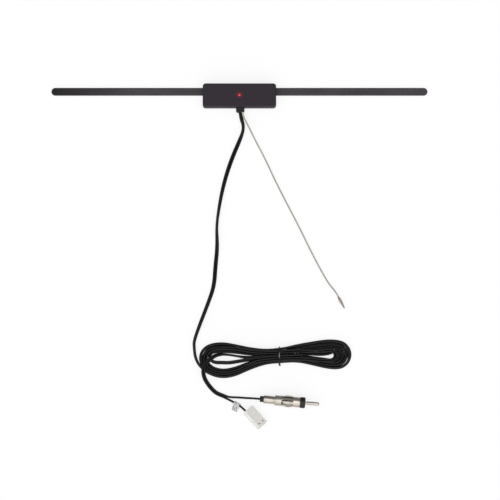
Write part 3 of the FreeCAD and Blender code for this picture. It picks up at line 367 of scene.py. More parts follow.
# Painted shade: the film's colour darkens toward the left tip, standing in for its weaker reflection there.
PAINTED_SHADE_TIP = -178 * MM
PAINTED_SHADE_START = -105 * MM
PAINTED_SHADE_SHARE = 0.18
arm_black, arm_shader = new_finish("arm_film", (FILM_SMOOTH + FILM_ROUGH) / 2, shine=FILM_SHINE)
arm_streaks = cloudy(arm_black, FILM_STREAK, STREAK_STRETCH, STREAK_DETAIL)
arm_place = add(arm_black, "TexCoord")
arm_along = add(arm_black, "SeparateXYZ")
arm_painted_shade = add(arm_black, "MapRange")
arm_painted_shade.inputs["From Min"].default_value = PAINTED_SHADE_TIP
arm_painted_shade.inputs["From Max"].default_value = PAINTED_SHADE_START
arm_painted_shade.inputs["To Min"].default_value = PAINTED_SHADE_SHARE
arm_painted_shade.inputs["To Max"].default_value = 1.0
# Painted shade: the film's colour is scaled down toward the left tip.
arm_colour = add(arm_black, "VectorMath")
arm_colour.operation = "SCALE"
join(arm_black, arm_place.outputs["Object"], arm_along.inputs["Vector"])
join(arm_black, arm_along.outputs["X"], arm_painted_shade.inputs["Value"])
join(arm_black, tone(arm_black, arm_streaks, FILM_DARK, FILM_LIGHT), arm_colour.inputs["Vector"])
join(arm_black, arm_painted_shade.outputs["Result"], arm_colour.inputs["Scale"])
join(arm_black, arm_colour.outputs["Vector"], arm_shader.inputs["Base Color"])
join(arm_black, spread(arm_black, arm_streaks, FILM_SMOOTH, FILM_ROUGH), arm_shader.inputs["Roughness"])
emboss(arm_black, cloudy(arm_black, FILM_GRAIN, GRAIN_STRETCH, GRAIN_DETAIL), FILM_DEPTH)
dress(arm_black, "left_element", "right_element")
tab_brass = uneven_finish(
    "stamped_brass", dark=(0.42, 0.29, 0.1), light=(0.55, 0.4, 0.16),
    roughness=0.32, patch=1.5, grain=0.2, depth=0.01, metallic=1.0,
)
rivet_steel = uneven_finish(
    "tinned_steel", dark=(0.4, 0.39, 0.37), light=(0.55, 0.54, 0.52),
    roughness=0.3, patch=0.8, grain=0.15, depth=0.01, metallic=1.0,
)
dress(tab_brass, "left_feed_tab", "right_feed_tab")
dress(rivet_steel, "element_rivets")

# Gland: a soft PVC block gripped by the cover's lower wall, tapered at its outer end.
# The twin lead and the single wire pass through it, and their bared copper ends are soldered to the board.
gland_black = uneven_finish(
    "gland_rubber", dark=(0.006, 0.0055, 0.006), light=(0.011, 0.01, 0.0105),
    roughness=0.5, patch=2, grain=0.25, depth=0.03, shine=0.25,
)
dress(gland_black, "cable_grommet")
copper = uneven_finish(
    "bare_copper", dark=(0.42, 0.22, 0.14), light=(0.62, 0.38, 0.27),
    roughness=0.34, patch=0.9, grain=0.12, depth=0.01, metallic=1.0,
)
dress(copper, "lead_conductors")

# Twin lead: two round PVC-covered strands joined side by side, a coax and a power strand.
# It twists over from flat to edge-on along its way, and is wound into a hank of five long turns.
# Past the hank the strands part, the coax to the antenna plug and the other to the power connector.
STRAND_WIDTH = 2.05 * MM
# From the lead's middle to a strand's, a little under half a strand because the two are fused.
STRAND_HALF = 1.01 * MM
FLOOR_GAP = 0.03 * MM
# Points of the lead in millimetres, with its twist in degrees: 0 lies flat, 90 stands on one strand.
UPPER_ROUTE = (
    (0.8, -8.75, 3.65, 0), (1.0, -19.4, 3.3, 0), (4.6, -30.6, 2.1, 70), (0.4, -42.6, 1.1, 17),
    (-5.0, -55.0, 1.1, 0), (-10.8, -70.8, 1.1, 0), (-15.7, -88.6, 1.1, 33), (-19.2, -107.0, 1.1, 54),
    (-21.8, -126.0, 1.1, 76), (-20.8, -146.0, 1.1, 28), (-22.7, -165.0, 1.1, 0), (-23.9, -184.0, 1.1, 21),
    (-29.8, -201.0, 1.1, 36), (-36.9, -219.5, 1.1, 43), (-42.9, -236.6, 1.1, 59),
)
# Turns of the hank, each along the bottom, round the right lobe, back along the top and round the left lobe.
# The third turn rides on top of the others, and the last climbs over the waist and the left lobe.
HANK_TURNS = (
    (
        (-42.5, -243.6, 2, 68), (-41.7, -251.3, 2, 68), (-38.4, -259.1, 2.05, 75),
        (-30.4, -266.5, 2.05, 75), (-18.2, -271, 2.05, 80), (-5, -269.6, 2.05, 85),
        (10.1, -262.6, 2.05, 90), (25.2, -257.4, 2.05, 90), (39.3, -256.3, 2.05, 90),
        (55.4, -255.4, 2.05, 90), (72.3, -259.3, 2.05, 90), (82, -261.5, 2.05, 85),
        (91.5, -262.4, 2.05, 80), (98.1, -260.9, 2.05, 80), (102.9, -256.1, 1.95, 70),
        (104.6, -249.5, 1.8, 45), (102.9, -243, 1.8, 45), (98.1, -238.2, 1.8, 45),
        (91.5, -236.6, 1.8, 45), (83, -236.3, 1.8, 50), (72.4, -237.6, 1.95, 60),
        (55.4, -240.5, 1.95, 60), (39.4, -243.9, 2.05, 90), (25.2, -245.3, 2.05, 90),
        (10.1, -243.6, 2.05, 90), (-3.1, -240.5, 2.05, 80), (-16.3, -238.4, 2, 65),
        (-28.8, -240.4, 1.85, 50), (-35.6, -246.3, 1.95, 60), (-37, -254.5, 1.95, 60),
    ),
    (
        (-33.1, -262.3, 1.95, 65), (-24.8, -267.1, 2.05, 75), (-14.4, -268.6, 2.05, 85),
        (-3.1, -266.5, 2.05, 90), (10.1, -260.6, 2.05, 90), (25.2, -255.4, 2.05, 90),
        (39.3, -254.2, 2.05, 90), (55.4, -253.3, 2.05, 90), (72.3, -257.2, 2.05, 90),
        (82, -259.4, 2.05, 85), (91.2, -259.8, 2.05, 80), (96.3, -258.6, 2, 70), (99.7, -254.8, 1.95, 60),
        (101.3, -249.7, 1.8, 45), (99.9, -244.8, 1.75, 40), (96.3, -240.9, 1.8, 45),
        (91.2, -239.6, 1.8, 45), (83, -239.3, 1.8, 45), (72.4, -240.5, 1.85, 50), (55.4, -243.1, 1.8, 45),
        (39.3, -246, 2.05, 90), (25.2, -247.4, 2.05, 90), (10.1, -245.7, 2.05, 90),
        (-3.1, -242.7, 2.05, 80), (-15.4, -240.9, 2, 65), (-27, -242.5, 1.85, 50),
        (-32.8, -247.9, 1.95, 60), (-34.3, -254.5, 1.95, 60),
    ),
    (
        (-30.8, -260.6, 1.95, 65), (-23.8, -265, 2.05, 75), (-14.4, -266.5, 2.05, 85),
        (-3.1, -264.4, 2.05, 90), (3.5, -261.4, 2.4, 85), (10.1, -258.1, 4.2, 50),
        (17.6, -256.1, 5.2, 10), (27.1, -254.8, 5.2, 0), (39.3, -254, 5.2, 0), (55.3, -253.4, 5.2, 0),
        (72.3, -254.8, 5.2, 0), (77.8, -255.2, 5.2, 0), (85.3, -255.7, 5.2, 0), (89.5, -254.3, 5.1, 0),
        (91.1, -250.5, 4.8, 0), (89.5, -246.7, 4.7, 0), (85.3, -245.3, 4.7, 0), (77.6, -246.6, 4.7, 0),
        (71, -246.9, 4.8, 0), (55.3, -246.1, 5.2, 0), (39.3, -247.5, 5.2, 0), (25.2, -247.7, 5.2, 0),
        (10.1, -246.6, 5.2, 0), (-3.1, -244.1, 5, 10), (-16.3, -243.7, 4.9, 30), (-25.5, -245, 3.5, 55),
        (-30.3, -249.2, 2, 60), (-31.6, -254.7, 1.95, 60),
    ),
    (
        (-28.5, -259.3, 1.95, 65), (-22.9, -263, 2.05, 75), (-14.4, -264.4, 2.05, 80),
        (-3.1, -262.3, 2, 70), (10.1, -256.6, 2, 70), (25.2, -253.4, 2.05, 88), (39.3, -252.1, 2.05, 90),
        (55.4, -251.2, 2.05, 90), (72.3, -255.1, 2.05, 90), (82, -257.3, 2.05, 85),
        (90.8, -257.4, 2.05, 80), (94.5, -256.5, 2, 70), (96.9, -253.7, 1.95, 60), (97.9, -250, 1.8, 45),
        (96.8, -246.5, 1.75, 40), (94.5, -243.6, 1.8, 45), (90.8, -242.6, 1.8, 45), (83, -242.3, 1.8, 45),
        (72.4, -243.5, 1.8, 45), (55.4, -246, 1.75, 40), (39.3, -248.1, 2.05, 85),
        (25.2, -249.4, 2.05, 85), (10.1, -248.8, 1.8, 45), (-3.1, -247, 1.85, 50),
        (-14.4, -246.2, 1.8, 45), (-22.8, -246.5, 1.85, 50), (-26.6, -247.9, 1.95, 60),
        (-28.3, -251.5, 1.95, 60),
    ),
    (
        (-26.7, -255.2, 2, 65), (-22.4, -256.9, 1.9, 55), (-17.2, -256.9, 1.85, 50),
        (-9.7, -257.2, 1.85, 50), (-1.2, -255.8, 1.85, 50), (10.1, -253.9, 1.9, 55),
        (25.2, -251.4, 2.05, 88), (39.3, -250, 2.05, 90), (55.4, -249.1, 2.05, 90),
        (63.5, -251, 2.05, 90), (72.4, -252.7, 2.05, 75), (81, -253.9, 2, 65), (87.5, -255, 2, 70),
        (90.1, -255.3, 2, 65), (93.3, -254.0, 1.85, 45), (94.8, -250.5, 1.75, 35),
        (93.8, -246.8, 1.75, 35), (90.1, -245.7, 1.75, 35), (84.5, -247.9, 1.6, 20),
        (78, -248.7, 1.4, 10), (70, -248.5, 1.5, 20), (64.5, -248.3, 2.6, 40), (58.5, -249.8, 5.9, 60),
        (52, -250, 6.05, 62), (39.3, -250.6, 6.05, 62), (25.2, -251.2, 5.9, 58), (11, -253, 5.3, 20),
    ),
)
LOWER_ROUTE = (
    (0.7, -251.3, 2.2, 75), (-7.8, -249.8, 2.05, 80), (-15.8, -249.1, 2.4, 70), (-21.9, -250.3, 5, 20),
    (-26.1, -253.0, 5.3, 0), (-30.0, -256.7, 5.3, 0), (-33.0, -261.0, 5.3, 0), (-33.9, -264.8, 5.3, 0),
    (-33.7, -268.6, 4.3, 0), (-32.5, -272.4, 2.4, 0), (-30.2, -276.3, 1.2, 0), (-26.6, -281.1, 1.1, 0),
    (-21.7, -285.9, 1.1, 0), (-14.6, -288.6, 1.1, 0),
)
COAX_ROUTE = (
    (-10.014, -289.685, 1.1), (-1.6, -289.9, 1.2), (6.0, -290.7, 2.7), (13.424, -291.267, 5.2),
    (27.966, -292.564, 5.2),
)
POWER_ROUTE = ((-10.908, -291.529, 1.1), (-6.4, -294.0, 2.6), (2.122, -298.971, 5.4), (10.214, -307.833, 5.4))


def strand_points(route, side):
    """Points of one strand of the twin lead, on one side of its middle line."""
    middles = [Vector(point[:3]) * MM for point in route]
    twists = [math.radians(point[3]) for point in route]
    points = []
    for index, (middle, turn) in enumerate(zip(middles, twists)):
        before = middles[max(index - 1, 0)]
        after = middles[min(index + 1, len(route) - 1)]
        across = Vector((0, 0, 1)).cross(after - before).normalized()
        lowest = STRAND_WIDTH / 2 + FLOOR_GAP + STRAND_HALF * math.sin(turn)
        middle.z = max(middle.z, lowest)
        aslant = across * math.cos(turn) + Vector((0, 0, math.sin(turn)))
        points.append(middle + aslant * STRAND_HALF * side)
    return points


def round_wires(name, lines, width, material, replaced, roundness, detail):
    """Round wires of one width along control points; a line that ends at its start is a bent ring."""
    bundle = bpy.data.curves.new(name, "CURVE")
    bundle.dimensions = "3D"
    bundle.bevel_depth = width / 2
    bundle.bevel_resolution = roundness
    bundle.use_fill_caps = True
    bundle.resolution_u = detail
    bundle.render_resolution_u = detail
    for points in lines:
        ring = points[0] == points[-1]
        spline = bundle.splines.new("NURBS")
        spline.points.add(len(points) - 1 - ring)
        for control, point in zip(spline.points, points):
            control.co = (*point, 1)
        spline.order_u = 2 if ring else 3
        spline.use_cyclic_u = ring
        spline.use_endpoint_u = not ring
    bundle.materials.append(material)
    obj = bpy.data.objects.new(name, bundle)
    bpy.context.scene.collection.objects.link(obj)
    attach(obj, "root")
    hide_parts(*replaced)
    return obj


CORD_ROUNDNESS = 3
LEAD_STEPS = 8
LEAD_DARK = (0.002, 0.0018, 0.002)
LEAD_LIGHT = (0.005, 0.0045, 0.0048)
lead_black = uneven_finish(
    "lead_sheath", dark=LEAD_DARK, light=LEAD_LIGHT,
    roughness=0.34, patch=4, grain=0.4, depth=0.02, shine=0.22,
)
twin_route = UPPER_ROUTE + sum(HANK_TURNS, ()) + LOWER_ROUTE
coax_points = strand_points(twin_route, 1) + [Vector(point) * MM for point in COAX_ROUTE]
power_points = strand_points(twin_route, -1) + [Vector(point) * MM for point in POWER_ROUTE]
coax_strand = round_wires(
    "coax_strand", [coax_points], STRAND_WIDTH, lead_black,
    ("lead_upper", "lead_hank", "lead_lower", "coax_tail"), CORD_ROUNDNESS, LEAD_STEPS,
)
power_strand = round_wires(
    "power_strand", [power_points], STRAND_WIDTH, lead_black,
    ("power_tail",), CORD_ROUNDNESS, LEAD_STEPS,
)

# Hank tie: a black plastic-covered wire tie wound once round the hank's waist, its ends twisted into a nub.
# A painted highlight lightens its cover on the crest, over the topmost strand.
TIE_X = 37.7
TIE_THICK = 1.1 * MM
TIE_ROUND = (
    (-257.95, 0.65), (-257.95, 4.4), (-255.9, 6.9), (-252.7, 8.0), (-251.1, 8.6), (-249.5, 8.0),
    (-245.7, 6.85), (-242.3, 4.4), (-242.3, 0.65), (-257.95, 0.65),
)
TIE_ENDS = (
    ((37.4, -257.6, 3.2), (38.9, -258.6, 3.4), (37.6, -259.4, 4.1), (38.6, -260.4, 3.6)),
    ((38.2, -257.6, 2.8), (37.0, -258.7, 3.1), (38.5, -259.5, 2.7), (37.9, -260.2, 3.0)),
)
TIE_CREST = Vector((TIE_X, -250.7, 8.9)) * MM
TIE_COLOUR = (0.008, 0.008, 0.0085)
TIE_ROUGHNESS = 0.45
TIE_SHINE = 0.25
TIE_PATCH = 1.5
TIE_GRAIN = 0.3
TIE_DEPTH = 0.02
PAINTED_HIGHLIGHT_COLOUR = (0.2, 0.2, 0.2)
PAINTED_HIGHLIGHT_START = 1.2 * MM
PAINTED_HIGHLIGHT_END = 3.2 * MM
THIN_ROUNDNESS = 2
THIN_STEPS = 6
tie_black, tie_shader = new_finish("tie_sheath", TIE_ROUGHNESS, shine=TIE_SHINE)
uneven_gloss(tie_black, TIE_ROUGHNESS, cloudy(tie_black, TIE_PATCH), TIE_GRAIN, TIE_DEPTH)
# Painted highlight: the tie's colour is lightened round its crest.
tie_place = add(tie_black, "TexCoord")
tie_reach = add(tie_black, "VectorMath")
tie_reach.operation = "DISTANCE"
tie_reach.inputs[1].default_value = TIE_CREST
tie_painted_highlight = add(tie_black, "MapRange")
tie_painted_highlight.inputs["From Min"].default_value = PAINTED_HIGHLIGHT_START
tie_painted_highlight.inputs["From Max"].default_value = PAINTED_HIGHLIGHT_END
join(tie_black, tie_place.outputs["Object"], tie_reach.inputs[0])
join(tie_black, tie_reach.outputs["Value"], tie_painted_highlight.inputs["Value"])
tie_tone = tone(tie_black, tie_painted_highlight.outputs["Result"], PAINTED_HIGHLIGHT_COLOUR, TIE_COLOUR, 0.0, 1.0)
join(tie_black, tie_tone, tie_shader.inputs["Base Color"])
tie_lines = [[Vector((TIE_X, y, z)) * MM for y, z in TIE_ROUND]]
tie_lines += [[Vector(point) * MM for point in end] for end in TIE_ENDS]
wire_tie = round_wires(
    "wire_tie", tie_lines, TIE_THICK, tie_black, ("hank_tie",), THIN_ROUNDNESS, THIN_STEPS,
)

# Antenna plug boot and barrel: a black moulded boot that grips the coax, in a rolled nickel-plated barrel.
# The barrel is rolled from sheet, so it has an open seam, and a groove where the sleeve is crimped on it.
PLUG_HEIGHT = 5.2
PLUG_START = Vector((19.4, -291.8, PLUG_HEIGHT)) * MM
PLUG_YAW = math.radians(-5.1)
PLUG_PLACE = (
    Matrix.Translation(PLUG_START)
    @ Matrix.Rotation(PLUG_YAW, 4, "Z")
    @ Matrix.Rotation(FULL_TURN / 4, 4, "Y")
)
BARREL_RADIUS = 3.75
SEAM_WIDTH = 0.4
SEAM_PLACE = math.radians(138)


def along_plug(stations):
    """Profile of a plug piece from (radius, place along the plug) in millimetres."""
    return [(radius * MM, place * MM) for radius, place in stations]


def plug_piece(name, shape, material, slot, *replaced):
    """Piece made about the plug's own axis, laid in its place."""
    bmesh.ops.transform(shape, matrix=PLUG_PLACE, verts=shape.verts)
    return piece(name, shape, material, slot, *replaced)


boot_black = uneven_finish(
    "boot_moulding", dark=(0.006, 0.006, 0.0065), light=(0.012, 0.012, 0.0125),
    roughness=0.5, patch=1.5, grain=0.25, depth=0.02, shine=0.3,
)
boot_profile = along_plug((
    (1.1, 0), (2.4, 0), (2.7, 0.12), (2.85, 0.45), (2.85, 3.4), (2.75, 3.6),
    (3.05, 3.6), (3.05, 8.6), (1.1, 8.6),
))
boot = plug_piece("moulded_boot", turned(boot_profile, closed=True), boot_black, "boot_black", "plug_boot")
NICKEL_DARK = (0.36, 0.33, 0.29)
NICKEL_LIGHT = (0.5, 0.465, 0.415)
nickel = uneven_finish(
    "nickel_plate", dark=NICKEL_DARK, light=NICKEL_LIGHT,
    roughness=0.2, patch=2.5, grain=0.2, depth=0.006, metallic=1.0, stretch=(0.25, 1, 1),
)
barrel_profile = along_plug((
    (3.15, 3.6), (3.5, 3.6), (3.68, 3.68), (BARREL_RADIUS, 3.9), (BARREL_RADIUS, 12.9), (3.62, 13.2),
    (3.4, 13.3), (3.4, 14.0), (BARREL_RADIUS, 14.1), (BARREL_RADIUS, 14.9),
    (4.2, 14.9), (4.2, 15.8), (3.15, 15.8),
))
barrel_shape = turned(barrel_profile, closed=True, angle=FULL_TURN - SEAM_WIDTH / BARREL_RADIUS)
bmesh.ops.rotate(barrel_shape, verts=barrel_shape.verts, matrix=Matrix.Rotation(SEAM_PLACE, 3, "Z"))
barrel = plug_piece("rolled_barrel", barrel_shape, nickel, "nickel", "plug_barrel")

# Spring sleeve: nickel-plated spring brass, stamped and rolled, with four windows round it.
# In each window a bowed leaf, fixed at the front and free behind, presses on the radio's socket.
SLEEVE_RADIUS = 4.85
SLEEVE_SHEET = 0.45
WINDOW_COUNT = 4
WINDOW_TURN = 24.0
WINDOW_REAR = 20.3
WINDOW_FRONT = 31.5
LEAF_REAR = 21.5
LEAF_EDGE = 13.1
LEAF_LOW = 4.62
LEAF_RISE = 1.0
# A leaf at an angle with a smaller cosine than this points aside, clear of the floor.
LEAF_STEEP = 0.1
# A face whose normal points inward by more than this is on the sheet's inside.
INSIDE_LIMIT = -0.5
# Degrees round one quarter of the sleeve from the middle of its window, with what lies after each.
QUARTER = (
    (-LEAF_EDGE, "leaf"), (-6.5, "leaf"), (0.0, "leaf"), (6.5, "leaf"), (LEAF_EDGE, "gap"), (22.0, "gap"),
    (31.0, "bar"), (38.0, "bar"), (45.0, "bar"), (52.0, "bar"), (59.0, "gap"), (68.0, "gap"),
)
# The sleeve's rolled-in rear end, its straight wall in steps along the leaves, and its front rim.
WALL_PLACES = (
    14.4, 17.4, WINDOW_REAR, LEAF_REAR, 22.75, 24.0, 25.25,
    26.5, 27.75, 29.0, 30.25, WINDOW_FRONT, 34.6, 37.7,
)
SLEEVE_RINGS = (
    (3.85, 14.0), (4.45, 14.0), (4.72, 14.1),
    *((SLEEVE_RADIUS, place) for place in WALL_PLACES),
    (4.72, 38.0),
)


def leaf_radius(place):
    """Radius of a leaf that bows out between its free end and its root."""
    share = (place - LEAF_REAR) / (WINDOW_FRONT - LEAF_REAR)
    return LEAF_LOW + (SLEEVE_RADIUS - LEAF_LOW) * share + LEAF_RISE * 4 * share * (1 - share)


columns = []
for quarter in range(WINDOW_COUNT):
    for turn, kind in QUARTER:
        angle = math.radians(WINDOW_TURN + 360 / WINDOW_COUNT * quarter + turn)
        columns.append((angle, kind, abs(turn) <= LEAF_EDGE))
sleeve_shape = bmesh.new()
rings = []
for radius, place in SLEEVE_RINGS:
    ring = []
    for angle, kind, on_leaf in columns:
        reach = leaf_radius(place) if on_leaf and LEAF_REAR <= place < WINDOW_FRONT else radius
        # A leaf underneath is pressed in by the plug's weight.
        reach = min(reach, PLUG_HEIGHT / max(math.cos(angle), LEAF_STEEP))
        corner = Vector((reach * math.cos(angle), reach * math.sin(angle), place)) * MM
        ring.append(sleeve_shape.verts.new(corner))
    rings.append(ring)
for lower, upper, (radius, place) in zip(rings, rings[1:], SLEEVE_RINGS):
    for index, (angle, kind, on_leaf) in enumerate(columns):
        in_window = WINDOW_REAR <= place < WINDOW_FRONT
        open_gap = kind == "gap" or (kind == "leaf" and place < LEAF_REAR)
        if in_window and open_gap:
            continue
        after = (index + 1) % len(columns)
        sleeve_shape.faces.new((lower[index], lower[after], upper[after], upper[index]))
bmesh.ops.recalc_face_normals(sleeve_shape, faces=sleeve_shape.faces)
sleeve_skin = list(sleeve_shape.faces)
outward = sum(face.normal.dot(Vector((*face.calc_center_median()[:2], 0))) for face in sleeve_skin)
bmesh.ops.solidify(sleeve_shape, geom=sleeve_skin, thickness=math.copysign(SLEEVE_SHEET * MM, outward))
# Painted shade: the sheet's inside faces get a dark finish that stands in for the shade inside the sleeve.
for face in sleeve_shape.faces:
    away = Vector((*face.calc_center_median()[:2], 0))
    face.material_index = int(face.normal.dot(away) < INSIDE_LIMIT * away.length)
# Dark nickel finish, painted shade for the sleeve's inside.
painted_inside_shade = uneven_finish(
    "painted_shade_inside", dark=(0.014, 0.011, 0.009), light=(0.03, 0.024, 0.019),
    roughness=0.5, patch=1.5, grain=0.2, depth=0.01, metallic=1.0,
)
sleeve = plug_piece("spring_sleeve", sleeve_shape, nickel, "nickel", "plug_sleeve")
sleeve.data.materials.append(painted_inside_shade)

# Plug collar and pin: a black moulded collar pressed into the sleeve's front holds a turned, plated pin.
# The pin has a neck behind its shoulder, and a rounded tip.
collar_black = uneven_finish(
    "collar_moulding", dark=(0.006, 0.0055, 0.006), light=(0.014, 0.012, 0.012),
    roughness=0.42, patch=1.2, grain=0.25, depth=0.01, shine=0.3,
)
collar_profile = along_plug([(1.45, 34.0), (4.2, 34.0), (4.2, 38.0), (4.85, 38.0), (5.1, 38.1), (5.2, 38.35)])
collar_profile += along_plug(quarter_round(3.9, 41.6, 1.3, 1.3) + [(1.45, 42.9)])
collar_shape = turned(collar_profile, closed=True)
collar = plug_piece("moulded_collar", collar_shape, collar_black, "collar_black", "plug_insulator")
pin_profile = along_plug([(0, 32.0), (1.4, 32.0), (1.4, 44.3), (1.5, 44.35), (1.65, 44.7)])
pin_profile += along_plug(quarter_round(0.35, 54.6, 1.3, 1.4) + [(0, 56.0)])
pin = plug_piece("turned_pin", turned(pin_profile), nickel, "nickel", "plug_pin")
# Painted shade: the coax's white core insulation is dimmed to grey-brown, standing in for the shade inside
# the sleeve.
core_painted_shade = uneven_finish(
    "core_insulation_painted_shade", dark=(0.16, 0.145, 0.12), light=(0.24, 0.22, 0.185),
    roughness=0.45, patch=1.0, grain=0.2, depth=0.01,
)
dress(core_painted_shade, "coax_core")

# Power connector: a two-way housing moulded in milky nylon, lying on one edge.
# One way holds a stamped brass contact, crimped on the power strand, and the other is empty.
housing_white = uneven_finish(
    "milky_nylon", dark=(0.7, 0.685, 0.645), light=(0.78, 0.765, 0.725),
    roughness=0.38, patch=4, grain=0.4, depth=0.015,
)
dress(housing_white, "connector_housing")
contact_brass = uneven_finish(
    "contact_brass", dark=(0.4, 0.28, 0.1), light=(0.52, 0.38, 0.15),
    roughness=0.35, patch=1.2, grain=0.2, depth=0.01, metallic=1.0,
)
dress(contact_brass, "connector_terminal")

# Paper flag: a blank paper label folded round the power strand and stuck to itself, its free end drooping.
# Its corners curl a little, as stiff label paper does.
FLAG_MIDDLE = Vector((-2.139, -296.486, 4.0)) * MM
STRAND_YAW = math.radians(-30.26)
STRAND_RISE = math.radians(-15.84)
FLAG_DROOP = math.radians(21)
FLAG_PLACE = (
    Matrix.Translation(FLAG_MIDDLE)
    @ Matrix.Rotation(STRAND_YAW, 4, "Z")
    @ Matrix.Rotation(STRAND_RISE, 4, "Y")
    @ Matrix.Rotation(FLAG_DROOP, 4, "X")
)
FLAG_LENGTH = 6.4
FLAG_REACH = 7.4
FLAG_ROOT = 2
FLAG_PAPER = 0.1
FLAG_CURL = 0.55
CORNER_CURL = 1.6
FLAG_STEPS = 6
FLAG_SMOOTHING = 2
# Section of the folded paper across the strand: one leaf, round the strand and the other leaf.
FLAG_FOLD = (
    (-FLAG_REACH, -0.16), (-5.4, -0.16), (-3.4, -0.18), (-2.0, -0.5), (-1.1, -1.35),
    (0.4, -1.75), (1.65, -1.0), (1.65, 1.0), (0.4, 1.75),
    (-1.1, 1.35), (-2.0, 0.5), (-3.4, 0.18), (-5.4, 0.16), (-FLAG_REACH, 0.16),
)
flag_shape = bmesh.new()
flag_rows = []
for step in range(FLAG_STEPS + 1):
    along = FLAG_LENGTH * (step / FLAG_STEPS - 0.5)
    row = []
    for across, height in FLAG_FOLD:
        free = max(-across - FLAG_ROOT, 0) / (FLAG_REACH - FLAG_ROOT)
        lift = FLAG_CURL * free * free * (1 - CORNER_CURL * (2 * along / FLAG_LENGTH) ** 2)
        row.append(flag_shape.verts.new(Vector((along, across, height + lift)) * MM))
    flag_rows.append(row)
for lower, upper in zip(flag_rows, flag_rows[1:]):
    for index in range(len(FLAG_FOLD) - 1):
        flag_shape.faces.new((lower[index], lower[index + 1], upper[index + 1], upper[index]))
bmesh.ops.solidify(flag_shape, geom=list(flag_shape.faces), thickness=FLAG_PAPER * MM)
bmesh.ops.recalc_face_normals(flag_shape, faces=flag_shape.faces)
bmesh.ops.transform(flag_shape, matrix=FLAG_PLACE, verts=flag_shape.verts)
tag_paper = uneven_finish(
    "label_paper", dark=(0.84, 0.82, 0.81), light=(0.9, 0.885, 0.875),
    roughness=0.75, patch=1.5, grain=0.3, depth=0.004,
)
paper_flag = piece("paper_flag", flag_shape, tag_paper, "tag_paper", "wire_tag")
flag_smooth = paper_flag.modifiers.new("smooth", "SUBSURF")
flag_smooth.levels = FLAG_SMOOTHING
flag_smooth.render_levels = FLAG_SMOOTHING

# Ground wire: a single grey PVC-covered wire that leaves the gland above the twin lead.
# It lies almost straight, aslant to the right, and its far end is stripped.
WIRE_WIDTH = 1.5 * MM
WIRE_STEPS = 12
WIRE_ROUTE = (
    (2.0, -8.75, 5.95), (2.6, -18.4, 5.8), (8.0, -28.0, 3.2), (14.4, -41.2, 1.0), (25.0, -61.5, 0.8),
    (33.4, -80.5, 0.8), (44.6, -103.0, 0.8), (56.4, -126.0, 0.8), (66.6, -147.5, 0.8), (77.8, -169.5, 0.8),
    (85.4, -182.6, 0.8), (90.8, -188.6, 1.7), (93.6, -193.9, 1.7),
)
wire_grey = uneven_finish(
    "wire_sheath", dark=(0.34, 0.32, 0.28), light=(0.43, 0.405, 0.355),
    roughness=0.42, patch=3, grain=0.3, depth=0.02,
)
wire_points = [Vector(point) * MM for point in WIRE_ROUTE]
ground_wire = round_wires(
    "grey_wire", [wire_points], WIRE_WIDTH, wire_grey,
    ("ground_wire",), CORD_ROUNDNESS, WIRE_STEPS,
)

# Bare strands: the wire's fine copper strands, stripped of their sheath and left loose.
# They fan out behind the cut sheath and come together again at the tip.
BARE_START = Vector((93.6, -193.9, 1.7))
BARE_RUN = Vector((0.467, -0.884, 0))
BARE_SIDE = Vector((0.884, 0.467, 0))
BARE_LENGTH = 12.6
BARE_STRAND = 0.34 * MM
BARE_COUNT = 11
# Share of the length, with how far the strands stand from their middle there.
BARE_FAN = ((-0.08, 0.4), (0.06, 0.6), (0.22, 1.5), (0.45, 1.55), (0.7, 1.05), (1.0, 0.45))
# The strands are gathered in the sheath, as loose as their number says outside it, and flatter than wide.
SHEATH_SHARE = 0.1
SHEATH_GATHER = 0.8
LOOSE_MIDDLE = 0.62
LOOSE_SWING = 0.38
LOOSE_STEP = 2.4
FAN_HEIGHT = 0.7
# Their tips are cut to three lengths.
TIP_SHARE_FROM = 0.9
TIP_LENGTHS = 3
TIP_CUT = 0.07
strand_copper = uneven_finish(
    "strand_copper", dark=(0.24, 0.2, 0.185), light=(0.4, 0.33, 0.305),
    roughness=0.35, patch=0.8, grain=0.12, depth=0.01, metallic=1.0,
)
bare_lines = []
for number in range(BARE_COUNT):
    turn = FULL_TURN * number / BARE_COUNT
    looseness = LOOSE_MIDDLE + LOOSE_SWING * math.sin(number * LOOSE_STEP)
    cut = 1 - TIP_CUT * (number % TIP_LENGTHS)
    strand = []
    for share, stand in BARE_FAN:
        fan = stand * (looseness if share > SHEATH_SHARE else SHEATH_GATHER)
        aside = BARE_SIDE * math.cos(turn) * fan
        lift = Vector((0, 0, math.sin(turn) * fan * FAN_HEIGHT))
        reach = BARE_LENGTH * share * (cut if share > TIP_SHARE_FROM else 1)
        strand.append((BARE_START + BARE_RUN * reach + aside + lift) * MM)
    bare_lines.append(strand)
bare_strands = round_wires(
    "bare_strands", bare_lines, BARE_STRAND, strand_copper, ("ground_wire_end",),
    THIN_ROUNDNESS, THIN_STEPS,
)

# Studio floor: a wide white sheet just under the part, which takes its shadow.
# Most of what the camera, metal and glass see of it is plain white, so the shadow is soft and pale.
FLOOR_SIZE = 12.0
FLOOR_DROP = 0.05 * MM
FLOOR_COLOUR = (0.97, 0.97, 0.97, 1)
FLOOR_ROUGHNESS = 0.9
FLOOR_WHITE = 0.75
floor_shape = bmesh.new()
bmesh.ops.create_grid(floor_shape, x_segments=1, y_segments=1, size=FLOOR_SIZE / 2)
floor_mesh = bpy.data.meshes.new("studio_floor")
floor_shape.to_mesh(floor_mesh)
floor_shape.free()
floor_mesh.transform(Matrix.Translation((0, 0, cad_box[0][2] - FLOOR_DROP)))
floor_white, floor_shader = new_finish("floor_white", FLOOR_ROUGHNESS, shine=0.0)
floor_shader.inputs["Base Color"].default_value = FLOOR_COLOUR
floor_rays = add(floor_white, "LightPath")
floor_seen = add(floor_white, "Math")
floor_seen.operation = "ADD"
floor_any = add(floor_white, "Math")
floor_any.operation = "ADD"
floor_any.use_clamp = True
floor_share = add(floor_white, "Math")
floor_share.operation = "MULTIPLY"
floor_share.inputs[1].default_value = FLOOR_WHITE
